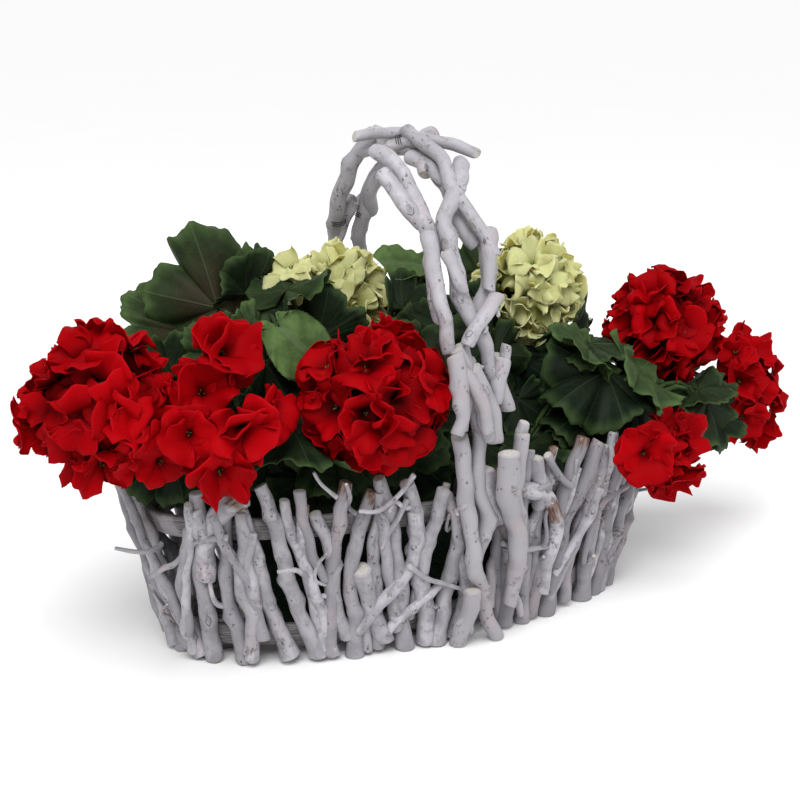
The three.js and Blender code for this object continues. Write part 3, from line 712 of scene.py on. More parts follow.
# Its greenish throat is partly the petals' own green centre and partly painted shade; its rim is a painted
# highlight.
CREAM = Petal(
    "cream_petal_cloth",
    Slot.CREAM,
    throat=(0.24, 0.25, 0.05),
    blade=(0.56, 0.545, 0.24),
    rim=(0.68, 0.67, 0.44),
    gloss=0.2,
    glow=0.4,
)
GREEN = Greenery("leaf_cloth", Slot.LEAVES)
FOAM = Sponge("flower_foam", Slot.FOAM)
WIRE = BlackWire("binding_wire", Slot.BRANCHES)


# --- branches
FOOT_Z = 0.2
CUT_END = ((0.97, 0.0), (0.86, 0.3), (0.55, 1.0), (0.05, 1.0))  # share of the radius, share of cut face


@dataclass
class Bark:
    """A branch's skin while it is shaped, with a row for each ring of points."""

    along: Points
    around: Points
    radius: Points
    thick: Points
    knot: Points
    collar: Points

    def raise_knot(self, spot: float, turn: float, rng: Rng) -> None:
        """Raises a knot with a small dark middle.

        Args:
            spot: Its way along the branch.
            turn: Its angle round the branch.
            rng: Gives the draws.
        """
        size = float(np.interp(spot, self.along, self.radius))
        before = self.along[:, None] - spot
        away = np.angle(np.exp(1j * (self.around[None] - turn))) * size
        far = np.hypot(before / 1.2, away) / (size * rng.uniform(0.42, 0.85))
        height = size * rng.uniform(0.16, 0.42)
        self.thick += height * (np.exp(-(far**2)) - 0.6 * np.exp(-((far / 0.3) ** 2)))
        self.thick += 0.05 * size * np.exp(-((before / size) ** 2))
        self.knot += np.exp(-((far / 0.34) ** 2)) * rng.uniform(0.2, 1.0)
        self.collar += np.exp(-((far / 1.2) ** 2)) * rng.uniform(0.3, 1)


@dataclass
class Stick:
    """One painted branch: smooth and gently bent, with knees at its knots and cut ends."""

    line: Points
    radii: Points
    rng: Rng
    sides: int = 16
    knots: int = 2
    slant: float = 0.35
    rot: Pair = (0.0, 0.0)
    flare: float = 0.0
    step: float = 3.0
    # Painted shade added to the branch's random darker tone.
    added_shade: float = 0.0
    bend: float = 0.6
    end_room: float = 18

    def build(self, surface: Surface) -> None:
        """Adds the branch to a surface.

        Args:
            surface: Where it goes.
        """
        length = float(ways_along(self.line)[-1])
        pieces = max(8, round(length / self.step))
        line = evenly(self.line, pieces)
        share = np.linspace(0, 1, pieces + 1)
        along = share * length
        radius = np.interp(share, np.linspace(0, 1, len(self.radii)), self.radii)
        radius *= 1 + self.swell(along, 0.034, 52) + self.swell(along, 0.018, 19)
        radius *= 1 + self.flare * np.exp(-along / (1.7 * radius[0]))
        heading, across, beside = frames_along(line)
        drift = np.minimum(1, np.minimum(along, length - along) / self.end_room)
        for square, wave in ((across, 66), (beside, 54)):
            line += square * (self.swell(along, self.bend, wave) * drift)[:, None]
        around = TAU * np.arange(self.sides) / self.sides
        spots = self.rng.uniform(0.12, 0.88, self.knots) * length
        turns = self.rng.uniform(0, TAU, self.knots)
        thick = radius[:, None] * self.section(along, around) * self.lumps(along, around)
        bark = Bark(along, around, radius, thick, *np.zeros((2, *thick.shape)))
        for spot, turn in zip(spots, turns):
            side = math.cos(turn) * across + math.sin(turn) * beside
            knee = self.rng.uniform(0.15, 0.45) * radius * np.exp(-np.abs(along - spot) / (2.5 * radius))
            line += side * (knee * drift)[:, None]
            bark.raise_knot(spot, turn, self.rng)
        self.add_rows(surface, line, (heading, across, beside), bark)

    def swell(self, along: Points, size: float, wave: float) -> Points:
        """Returns a slow random variation along the branch."""
        (first, second), turn = self.rng.uniform(0, TAU, 2), TAU * along
        return size * (np.sin(first + turn / wave) + 0.6 * np.sin(second + turn / (wave * 0.43)))

    def section(self, along: Points, around: Points) -> Points:
        """Makes the section slightly oval and ridged.

        Args:
            along: The way along the branch of each row.
            around: The angle of each column.

        Returns:
            A factor for the radius at each point.
        """
        turn = self.swell(along, 0.6, 80)[:, None]
        first, second = self.rng.uniform(0, TAU, 2)
        oval = 0.045 * np.cos(2 * (around[None] + first + turn))
        ridges = 0.012 * np.cos(5 * around[None] + second + 2 * turn)
        return 1 + oval + ridges

    def lumps(self, along: Points, around: Points) -> Points:
        """Scatters small dents and swellings over the bark.

        Args:
            along: The way along the branch of each row.
            around: The angle of each column.

        Returns:
            A factor for the radius at each point.
        """
        each = (int(along[-1] / 6), 1, 1)
        wide = self.rng.uniform(1.6, 3.6, each)
        spot = self.rng.uniform(0, along[-1], each)
        away = np.angle(np.exp(1j * (around[None, None] - self.rng.uniform(0, TAU, each))))
        away = away * float(np.mean(self.radii)) / wide
        far = ((along[None, :, None] - spot) / (1.5 * wide)) ** 2 + away**2
        return 1 + (self.rng.normal(0.01, 0.07, each) * np.exp(-far)).sum(0)

    def add_rows(self, surface: Surface, line: Points, frames: Frames, bark: Bark) -> None:
        """Adds the rows of points, with a bevel and a slanted cut at both ends.

        Args:
            surface: Where they go.
            line: The middle of each row.
            frames: The branch's direction at each row and two directions square to it.
            bark: How thick and how knotty it is at each point.
        """
        heading, across, beside = frames
        cos, sin = np.cos(bark.around), np.sin(bark.around)
        last = len(line) - 1
        plan = [(0, factor, cut) for factor, cut in CUT_END[::-1]] + [(i, 1.0, 0.0) for i in range(1, last)]
        plan += [(last, factor, cut) for factor, cut in CUT_END]
        tilts = {end: (self.rng.uniform(0, self.slant), self.rng.uniform(0, TAU)) for end in (0, last)}
        rows, grain = [], []
        for i, factor, _ in plan:
            thick = bark.thick[i] * factor
            points = line[i] + (cos[:, None] * across[i] + sin[:, None] * beside[i]) * thick[:, None]
            if i in tilts:
                size, turn = tilts[i]
                points += heading[i] * (size * factor * bark.thick[i] * np.cos(bark.around - turn))[:, None]
                points += heading[i] * (0.5 if factor > 0.9 else 0.0) * (1 if i == 0 else -1)
            rows.append(points)
            grain.append(np.stack([cos * thick, sin * thick, np.full(self.sides, bark.along[i])], 1))
        points = np.vstack(rows)
        points[:, 2] = np.maximum(points[:, 2], FOOT_Z)
        order = [i for i, _, _ in plan]
        low, high = self.rot
        ragged = np.repeat(bark.along[order], self.sides)
        ragged += np.tile(self.rng.normal(0, 2.5, self.sides), len(plan))
        rot = smoothstep(ragged, low, low + 2) * (1 - smoothstep(ragged, high - 2, high))
        surface.add(
            points,
            grid_faces(len(plan), self.sides, closed=True),
            knot=bark.knot[order].ravel().clip(0, 1),
            collar=bark.collar[order].ravel().clip(0, 1),
            grain=(np.vstack(grain) + self.rng.uniform(-400, 400, 3)) * MM,
            cut=np.repeat([cut for _, _, cut in plan], self.sides),
            rot=rot if high > low else 0.0,
            # A random darker tone per branch, plus its painted shade.
            age=min(1.0, self.added_shade + self.rng.uniform(0, 0.9) ** 1.5),
        )
        surface.close_ends(len(points), self.sides)


@dataclass
class Twig:
    """A thin side shoot or a cut-off stub that leaves a branch."""

    start: Points
    toward: Points
    length: float
    radius: float
    rng: Rng

    def build(self, surface: Surface) -> None:
        """Adds the twig to a surface.

        Args:
            surface: Where it goes.
        """
        toward = unit(self.toward)
        sway = self.rng.normal(0, 0.12, (4, 3)) * self.length
        sway[0] = 0
        line = self.start + np.linspace(0, self.length, 4)[:, None] * toward + sway
        radii = np.linspace(1.15, 0.7, 4) * self.radius
        Stick(line, radii, self.rng, sides=9, knots=0, step=2.4).build(surface)


# --- the basket's wall
CLEARANCE = 0.3
BRANCH_RADIUS = 5.3
TWIG_RADIUS = 4
WALL_CELLS = 20
ROUNDING = 0.97  # a round branch beside the six-sided solid that it stands for


@dataclass(frozen=True)
class Upright:
    """Where one upright of the wall stands."""

    cell: int
    line: Points
    radii: Points


@dataclass
class Wall:
    """The oval wall of leaning uprights on two hoops."""

    rim_half: Pair = (200, 91)
    base_half: Pair = (165, 72.5)
    height: float = 119
    depth: float = 13
    pieces: int = 4
    meet_share: float = 0.42
    side_gap: float = 1
    seed: int = 41
    end_cells: tuple[int, ...] = (9, 10, 11)
    slimness: float = 0.93
    # How much painted shade the uprights get, rising towards the wall's right end.
    right_side_shade: float = 0.45
    steps: int = 720
    uprights: list[Upright] = field(default_factory=list)
    edges: list[tuple[float, float, Callable[[float], float]]] = field(default_factory=list)

    def __post_init__(self) -> None:
        """Lays out the wall."""
        self.angles = TAU * np.arange(self.steps + 1) / self.steps
        ring = np.array([self.point(angle, self.height / 2, 0) for angle in self.angles])
        self.ways = ways_along(ring)
        self.girth = self.ways[-1]
        self.plan()

    def size(self, z: float) -> Pair:
        """Returns the half length and width of the hoops' outer face at a height."""
        share = z / self.height
        return tuple(lerp(b, r, share) - self.depth for b, r in zip(self.base_half, self.rim_half))

    def point(self, angle: float, z: float, out: float) -> Points:
        """Finds a point beside the wall.

        Args:
            angle: The oval's angle there.
            z: The height.
            out: How far outside the hoops' outer face it is.

        Returns:
            The point.
        """
        a, b = self.size(z)
        flare = [(r - s) / self.height for r, s in zip(self.rim_half, self.base_half)]
        c, s = math.cos(angle), math.sin(angle)
        normal = unit(np.array([b * c, a * s, -(a * flare[1] * s * s + b * flare[0] * c * c)]))
        return np.array([a * c, b * s, z]) + normal * out

    def angle_at(self, share: float) -> float:
        """Returns the oval's angle at a share of the way round."""
        turns = math.floor(share)
        return TAU * turns + float(np.interp((share - turns) * self.girth, self.ways, self.angles))

    def millimetre_at(self, z: float) -> float:
        """Returns a millimetre along the wall as a share of the way round."""
        return self.size(self.height / 2)[1] / self.size(z)[1] / self.girth

    def edge(self, i: int, share: float) -> float:
        """Returns where an edge between two cells lies at a share of the height."""
        at, lean, wave = self.edges[i % WALL_CELLS]
        return at + i // WALL_CELLS + lean * (share - 0.5) + wave(share)

    def middle(self, i: int, share: float) -> float:
        """Returns where a cell's middle lies at a share of the height."""
        return (self.edge(i, share) + self.edge(i + 1, share)) / 2

    def in_pair(self, i: int, side: int, bow: float, share: float, z: float, thick: float) -> float:
        """Places one of a cell's two uprights, which draw together at one end.

        Args:
            i: The cell.
            side: -1 or 1, for its first or second upright.
            bow: How far the upright bows away from the cell's edge.
            share: The share of the height.
            z: The height.
            thick: The upright's radius there.

        Returns:
            Its place, as a share of the way round.
        """
        beside = self.edge(i, share) if side < 0 else self.edge(i + 1, share)
        bowed = bow * math.sin(3.1 * min(max(share, 0), 1)) ** 2
        inset = (thick + self.side_gap + bowed) * self.millimetre_at(z)
        joined = self.middle(i, share) + side * 0.55 * thick * self.millimetre_at(z)
        from_end = 1 - share if i % 2 else share
        meets = float(smoothstep(self.meet_share - from_end, 0, self.meet_share))
        return lerp(beside - side * inset, joined, meets)

    def between(self, i: int, drift: Callable[[float], float], share: float, z: float, _: float) -> float:
        """Returns where the twig between a cell's two uprights stands."""
        return self.middle(i, share) + drift(share) * self.millimetre_at(z)

    def plan(self) -> None:
        """Works out each upright in the order of the solids."""
        draws = Draws(self.seed)
        cell = 1 / WALL_CELLS
        for i in range(WALL_CELLS):
            at = (i + 0.16 * (draws.next() - 0.5)) * cell
            lean = (1 if i % 2 else -1) * cell * (0.3 + 0.1 * draws.next())
            self.edges.append((at, lean, draws.wander(cell * 0.09)))
        for i in range(WALL_CELLS):
            for side in (-1, 1):
                place = partial(self.in_pair, i, side, draws.next() * 2.5)
                radius = BRANCH_RADIUS * (0.9 + 0.2 * draws.next())
                low = 0.5 + 6 * draws.next()
                self.add(i, place, low, self.height - 9 + 16 * draws.next(), radius)
            if i % 4 < 2:
                place = partial(self.between, i, draws.wander(2.5))
                radius = TWIG_RADIUS * (0.9 + 0.25 * draws.next())
                loose = draws.next()
                low, short = (1 + 5 * loose, 12) if i % 2 else (9, 14 - 22 * loose)
                self.add(i, place, low, self.height - short, radius)

    def add(self, cell: int, place: RoundWall, low: float, high: float, radius: float) -> None:
        """Adds an upright.

        Args:
            cell: The cluster that it belongs to.
            place: Gives its place round the wall at a share of the height, a height and a radius.
            low: The height of its foot.
            high: The height of its tip.
            radius: Its radius.
        """
        shares = np.arange(self.pieces + 1) / self.pieces
        radii = radius * (1.04 - 0.18 * shares)
        line = []
        for z, thick in zip(lerp(low, high, shares), radii):
            angle = self.angle_at(place(z / self.height, z, thick))
            line.append(self.point(angle, z, thick + CLEARANCE))
        self.uprights.append(Upright(cell, np.array(line), radii))

    def front(self, x: float, z: float, out: float) -> Points:
        """Returns the place at an x and a height that far outside the long near side."""
        a, b = (half + out for half in self.size(z))
        return np.array([x, -b * math.sqrt(max(0.0, 1 - (x / a) ** 2)), z])

    def build(self) -> None:
        """Makes each cluster of uprights with its side shoots, and dresses it."""
        for cell in range(WALL_CELLS):
            rng = np.random.default_rng(500 + cell)
            surface = Surface()
            for upright in (u for u in self.uprights if u.cell == cell):
                knots = int(rng.integers(4, 8))
                top = float(ways_along(upright.line)[-1])
                rot = (top - 7, top + 20) if rng.random() < 0.3 else (0.0, 0.0)
                flare = rng.uniform(0.12, 0.42)
                radii = upright.radii * self.slimness
                stick = Stick(upright.line, radii, rng, knots=knots, rot=rot, flare=flare)
                # Painted shade, rising from none to full towards the wall's right end.
                stick.added_shade = self.right_side_shade * float(smoothstep(upright.line[0][0], -20, 60))
                stick.build(surface)
                self.add_shoots(surface, upright, rng)
            self.add_leaning(surface, cell, rng)
            name = f"wall_branch_{cell + 1:02d}"
            surface.as_object(f"uprights_{cell + 1:02d}", WHITEWASH, (name,), crease=42)

    def add_leaning(self, surface: Surface, cell: int, rng: Rng) -> None:
        """Adds thinner branches that lean across a cluster and have grown into it.

        Args:
            surface: Where they go.
            cell: The cluster.
            rng: Gives the draws.
        """
        at_end = cell in self.end_cells
        for _ in range(3 if at_end else 2):
            at = (cell + rng.uniform(0.1, 0.9)) / WALL_CELLS
            lean = rng.choice([-1, 1]) * rng.uniform(0.2, 0.75) / WALL_CELLS
            low = rng.uniform(1, 22)
            high = self.height + rng.uniform(-26, 6)
            radius = rng.uniform(2.6, 4.3)
            out = rng.uniform(8.0, 13.0) if at_end else rng.uniform(4.0, 7.5)
            line = []
            for share in np.linspace(0, 1, 5):
                angle = self.angle_at(at + lean * (share - 0.5) + rng.normal(0, 0.0022))
                line.append(self.point(angle, lerp(low, high, share), out + rng.normal(0, 0.6)))
            radii = radius * np.array([1.1, 1, 0.95, 0.9])
            Stick(np.array(line), radii, rng, sides=12, knots=3, flare=0.15).build(surface)

    def add_shoots(self, surface: Surface, upright: Upright, rng: Rng) -> None:
        """Adds cut stubs and thin shoots to an upright.

        Args:
            surface: Where they go.
            upright: What they grow from.
            rng: Gives the draws.
        """
        heading = headings(upright.line)
        for _ in range(int(rng.integers(0, 3))):
            at = rng.uniform(0.15, 0.93) * self.pieces
            i = int(at)
            start = lerp(upright.line[i], upright.line[i + 1], at - i)
            radius = float(lerp(upright.radii[i], upright.radii[i + 1], at - i))
            outward = unit(start * np.array([0.35, 1, 0]))
            sideways = np.cross(heading[i], outward)
            toward = heading[i] * rng.uniform(0.5, 1.1) + sideways * rng.uniform(-1, 1)
            toward += outward * rng.uniform(0, 0.5)
            stub = rng.random() < 0.6
            length = radius + (rng.uniform(3, 8) if stub else rng.uniform(16, 34))
            thick = radius * rng.uniform(0.35, 0.5) if stub else rng.uniform(1.1, 1.9)
            length = min(length, max(radius + 2, self.height + 8 - start[2])) if toward[2] > 0 else length
            Twig(start, toward, length, thick, rng).build(surface)


@dataclass(frozen=True)
class Shoot:
    """A bent piece on the wall's near side: its way in x and z, and how far out it lies."""

    way: tuple[Pair, ...]
    out: float
    radius: float
    tip: float = 0.8
    rot: Pair = (0.0, 0.0)
    knots: int = 0


OFFSHOOTS = (
    Shoot(((35, 101), (52, 95), (66, 80), (70, 64), (66, 46), (64, 20)), 13, 4.6, 1, (28, 44)),
    Shoot(((24, 66), (42, 58), (62, 55)), 14, 1.8),
    Shoot(((59, 103), (45, 99), (33, 103)), 15, 2.0),
    Shoot(((54, 121), (66, 105), (80, 93)), 12, 2.6),
    Shoot(((80, 93), (82, 112)), 10, 1.8),
    Shoot(((34, 146), (32, 128), (36, 104)), 10, 3.2, 1.1),
    Shoot(((3, 122), (4, 108), (9, 95), (22, 84)), 17, 6.2, 0.8),
    Shoot(((47, 120), (50, 100), (54, 84)), 10, 4.4, 1.1),
    Shoot(((-141, 118), (-151, 105), (-158, 88), (-158, 60)), 11, 6.2, 1, (0, 9)),
    Shoot(((-166, 108), (-161, 96), (-158, 84)), 10, 4.6, 1.1),
    Shoot(((-150, 91), (-167, 87), (-174, 72), (-181, 56)), 14, 2.1),
    Shoot(((-111, 119), (-104, 86), (-92, 57)), 10, 3.4),
    Shoot(((-21, 110), (-26, 82), (-31, 55)), 12, 4.4, 1),
    Shoot(((-39, 97), (-36, 74), (-41, 56), (-56, 38), (-70, 18)), 11, 4.6),
    Shoot(((-44, 124), (-52, 112), (-64, 103), (-77, 104)), 14, 1.5),
    Shoot(((-46, 107), (-54, 90), (-60, 76)), 12, 1.8),
    Shoot(((-42, 62), (-24, 49), (-3, 39)), 14, 1.7),
    Shoot(((-53, 14), (-45, 24), (-31, 34), (-16, 45)), 11, 3.1, knots=7),
    Shoot(((-42, 28), (-30, 31), (-18, 28)), 10, 2.2, knots=4),
    Shoot(((-49, 24), (-36, 30), (-27, 42)), 11, 2.4, knots=4),
    Shoot(((-70, 62), (-62, 34), (-50, 9)), 10, 5.2, 1),
    Shoot(((108, 86), (101, 66), (86, 48), (74, 31)), 12, 3.2),
    Shoot(((141, 78), (117, 73), (105, 60), (103, 30)), 11, 2.8),
    Shoot(((-88, 112), (-98, 122), (-103, 130)), 8, 1.4),
    Shoot(((30, 62), (38, 34), (48, 8)), 12, 3.4),
)


@dataclass
class Offshoots:
    """The forked, bent and broken pieces on the near side of the wall."""

    wall: Wall
    threads: int = 14
    thin_below: float = 3

    def build(self) -> None:
        """Makes them, with the frayed bark threads that hang on some."""
        rng = np.random.default_rng(330)
        surface = Surface()
        for shoot in OFFSHOOTS:
            line = np.array([self.wall.front(x, z, shoot.out - shoot.radius * 0.5) for x, z in shoot.way])
            radii = shoot.radius * np.linspace(1.05, shoot.tip, 4)
            sides, knots = (14, 3) if shoot.radius > self.thin_below else (9, 1)
            knots = shoot.knots or knots
            stick = Stick(line, radii, rng, sides, knots, rot=shoot.rot, flare=0.1, step=2.6)
            stick.build(surface)
        start = self.wall.point(math.pi + 0.2, 82, 6)
        Twig(start, np.array([-1.0, -0.2, 0.22]), 30, 1.6, rng).build(surface)
        for _ in range(self.threads):
            x, z = rng.uniform(92, 124), rng.uniform(60, 98)
            begin = self.wall.front(x, z, 11)
            bend = [rng.normal(0, 4), -2, rng.normal(0, 4)]
            way = begin + np.array([[0, 0, 0], bend, [rng.normal(0, 9), -1, rng.normal(0, 9)]])
            tube(surface, evenly(way, 8), np.linspace(0.45, 0.15, 9), 4, rot=0.6)
        surface.as_object("wall_offshoots", WHITEWASH, crease=42)


# --- floor strips and hoops
@dataclass
class Strips:
    """The floor slats and the two hoops inside the wall."""

    wall: Wall
    hoop_height: float = 14
    hoop_thickness: float = 5
    hoop_ease: float = 0.8
    hoop_steps: int = 160
    hoop_heights: tuple[tuple[str, float], ...] = (("hoop_lower", 10.3), ("hoop_upper", 84.0))
    slats: tuple[str, ...] = ("floor_slat_1", "floor_slat_2", "floor_slat_3")
    slat_ease: float = 1.2
    slat_pieces: int = 40
    end_pinch: float = 0.035

    def build(self) -> None:
        """Makes each strip."""
        for name, low in self.hoop_heights:
            self.build_hoop(name, low)
        for k, name in enumerate(self.slats):
            self.build_slat(name, np.random.default_rng(70 + k))

    def build_hoop(self, name: str, low: float) -> None:
        """Makes a hoop, with its edges eased.

        Args:
            name: The frame's node that it stands for.
            low: The height of its lower edge.
        """
        thick, tall, ease = self.hoop_thickness, self.hoop_height, self.hoop_ease
        across = [0, 0, ease, thick - ease, thick, thick, thick - ease, ease]
        up = [ease, tall - ease, tall, tall, tall - ease, ease, 0, 0]
        rows, grain = [], []
        for i in range(self.hoop_steps):
            angle = TAU * i / self.hoop_steps
            foot = self.wall.point(angle, low, 0)
            inward = self.wall.point(angle, low, -thick) - foot
            inward[2] = 0
            depth = unit(inward)
            rise = self.wall.point(angle, low + tall, 0) - foot
            wave = 0.25 * math.sin(9 * angle) + 0.2 * math.sin(23 * angle + 1)
            for inset, height in zip(across, up):
                share = height / tall
                lift = np.array([0, 0, wave * (1 - share) * share * 4])
                rows.append(foot + rise * share + depth * (inset + 0.15) + lift)
                grain.append([self.wall.girth * i / self.hoop_steps, inset * 3, height])
        last = (self.hoop_steps - 1) * 8
        closing = [[last + k, last + (k + 1) % 8, (k + 1) % 8, k] for k in range(8)]
        faces = np.vstack([grid_faces(self.hoop_steps, 8, closed=True), closing])
        surface = Surface()
        surface.add(np.array(rows), faces, grain=np.array(grain) * MM)
        surface.as_object(f"{name}_strip", BOARD, (name,), crease=60)

    def build_slat(self, name: str, rng: Rng) -> None:
        """Makes a floor slat, slightly warped, with eased edges.

        Args:
            name: The frame's node that it stands for.
            rng: Gives the draws.
        """
        low, high = (np.array(corner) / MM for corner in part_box(name))
        length, width, tall = high - low
        ease, count = self.slat_ease, self.slat_pieces
        section = [(0, ease), (0, tall - ease), (ease, tall), (width - ease, tall)]
        section += [(width, tall - ease), (width, ease), (width - ease, 0), (ease, 0)]
        rows, grain = [], []
        first, second = rng.uniform(0, TAU, 2)
        for i in range(count + 1):
            share = i / count
            x = low[0] + length * share
            pinch = self.end_pinch if i in (0, count) else 0.0
            for y, z in section:
                dy = 0.5 * math.sin(first + 7 * share) * (1 if y > width / 2 else -1) - 0.6
                dz = 0.4 * math.sin(second + 5 * share) - 0.4 if z > tall / 2 else 0
                inner = lerp(y, width / 2, pinch) + dy * 0.4
                rows.append([x, low[1] + min(max(inner, 0.1), width - 0.1), low[2] + max(z + dz, 0)])
                grain.append([x, low[1] + y, z])
        surface = Surface()
        surface.add(np.array(rows), grid_faces(count + 1, 8, closed=True), grain=np.array(grain) * MM)
        surface.close_ends(surface.count, 8)
        surface.as_object(f"{name}_board", BOARD, (name,), crease=40)


# --- handle
@dataclass(frozen=True)
class Branch:
    """One branch of the handle: its route and its fork's, and how it is laid."""

    route: tuple[Pair, ...]
    base: float
    radius: float = BRANCH_RADIUS
    settle: float = 0.0
    rot: Pair = (0.0, 0.0)
    taper: tuple[float, ...] = (1.03, 0.93)
    fork: tuple[Pair, ...] = ()


HANDLE_BRANCHES = (
    Branch(
        ((85, 5), (74, 9), (58, 5), (49, 8), (44, 18), (36, 16), (31, 9), (26, 4)), -8,
        fork=((54, -1), (48, 4), (43, 13)),
    ),
    Branch(
        ((82, -28), (67, -25), (55, -24), (46, -22.4), (35, -23), (28, -22)), -2,
        settle=1, fork=((66, -38), (54, -31), (48, -23)),
    ),
    Branch(((21, 16), (15, 14), (9, 10)), -7, 4.7),
    Branch(((66, 17), (56, 2), (48, -12.3), (40, -12.3), (31, -6), (26, 1), (18, 10), (11, 20)), 0),
    Branch(((24, -12), (17, -8), (9, -3), (-4, -1), (-33, 5), (-60, 3)), 1.4, 4.9, -0.3),
    Branch(((32, 14), (28, -1), (24, -14)), 2, 4.8),
    Branch(((20, -11), (16, -5), (12, 1), (6, 6)), 2),
    Branch(((6, 32), (-4, 29), (-22, 31), (-60, 39)), 0, 4.9, 2.2),
    Branch(
        ((5, 8), (-13, 13), (-33, 23), (-53, 29), (-96, 31)), 0, 7.9, 0.3,
        taper=(0.92, 0.95, 0.8, 0.7, 0.64),
    ),
    Branch(((8, -17), (-17, -9), (-60, 0), (-90, 10), (-118, 24)), 4),
    Branch(((-72, -6), (-88, -4), (-118, -4)), 0, 5.5, 1.3),
    Branch(((103, -6), (111, 16), (116, 33)), 0, 4.9),
    Branch(((101, -27), (84, 2), (67, 27)), -6, taper=(0.74, 0.8, 0.74)),
    Branch(((93, 12), (100, 24), (110, 36)), -12, 7.2, 1.6),
    Branch((
        (106, -2), (114, -8), (123, -13), (133, -15), (145, -12),
        (158, -13), (170, -8), (195, -4), (240, 6),
    ), 0, settle=0.5),
    Branch((
        (118, 14), (130, 6), (142, 5), (152, 12), (165, 15), (188, 12), (215, 17), (270, 20),
    ), 0, settle=0.1),
    Branch(((172, 3), (184, 0), (215, -12), (255, -24), (296, -28)), 4),
)


# Short pieces tied to the arch: points, radius, share of it left at the tip.
HANDLE_PIECES = (
    (((-36, 2, 316), (-16, 6, 317), (4, 10, 316)), 3.5, 1.05),
    ((
        (2, 12, 315), (0, -4, 316), (-1, -22, 313), (2, -40, 305),
        (0, -55, 293), (3, -66, 279), (11, -74, 264), (16, -80, 250),
    ), 4.3, 1.05),
    (((4, -4, 304), (2, -26, 301), (1, -40, 292), (9, -44, 288)), 4.4, 0.8),
    (((-3, -12, 303), (-1, -22, 300), (-4, -30, 294)), 5.2, 0.7),
    (((13, 43, 292), (6, 57, 276), (10, 67, 257)), 4.6, 0.9),
    (((-3, 69, 266), (-11, 77, 242), (-22, 84, 222), (-30, 88, 200)), 4.4, 0.95),
    (((-8, 70, 268), (-2, 72, 264)), 3.8, 1),
    (((1, 72, 262), (6, 72, 268)), 3.4, 1),
    (((-28, -76, 266), (-27, -81, 250), (-26, -88, 228), (-23, -94, 196)), 4.7, 0.9),
    (((16, -73, 265), (13, -79, 250), (10, -84, 230)), 4.9, 0.9),
    (((-20, -84, 256), (-15, -87, 245), (-11, -89, 232)), 4.0, 0.85),
    (((-21, -99, 200), (-14, -100, 186), (-5, -102, 163), (1, -103, 142)), 4.3, 0.95),
    (((-19, -100, 190), (-15, -102, 172), (-18, -103, 152)), 3.5, 0.9),
    (((14, -95, 190), (11, -97, 178), (8, -98, 164)), 4.6, 0.8),
    (((22, -86, 196), (16, -92, 180)), 3.0, 0.9),
    (((-26, -106, 199), (-24, -107, 190), (-22, -108, 178), (-22, -109, 162), (-26, -109, 151)), 5.2, 0.8),
    (((-24, -105, 189), (-17, -107, 184), (-9, -108, 170), (-4, -109, 150)), 4.4, 0.85),
)


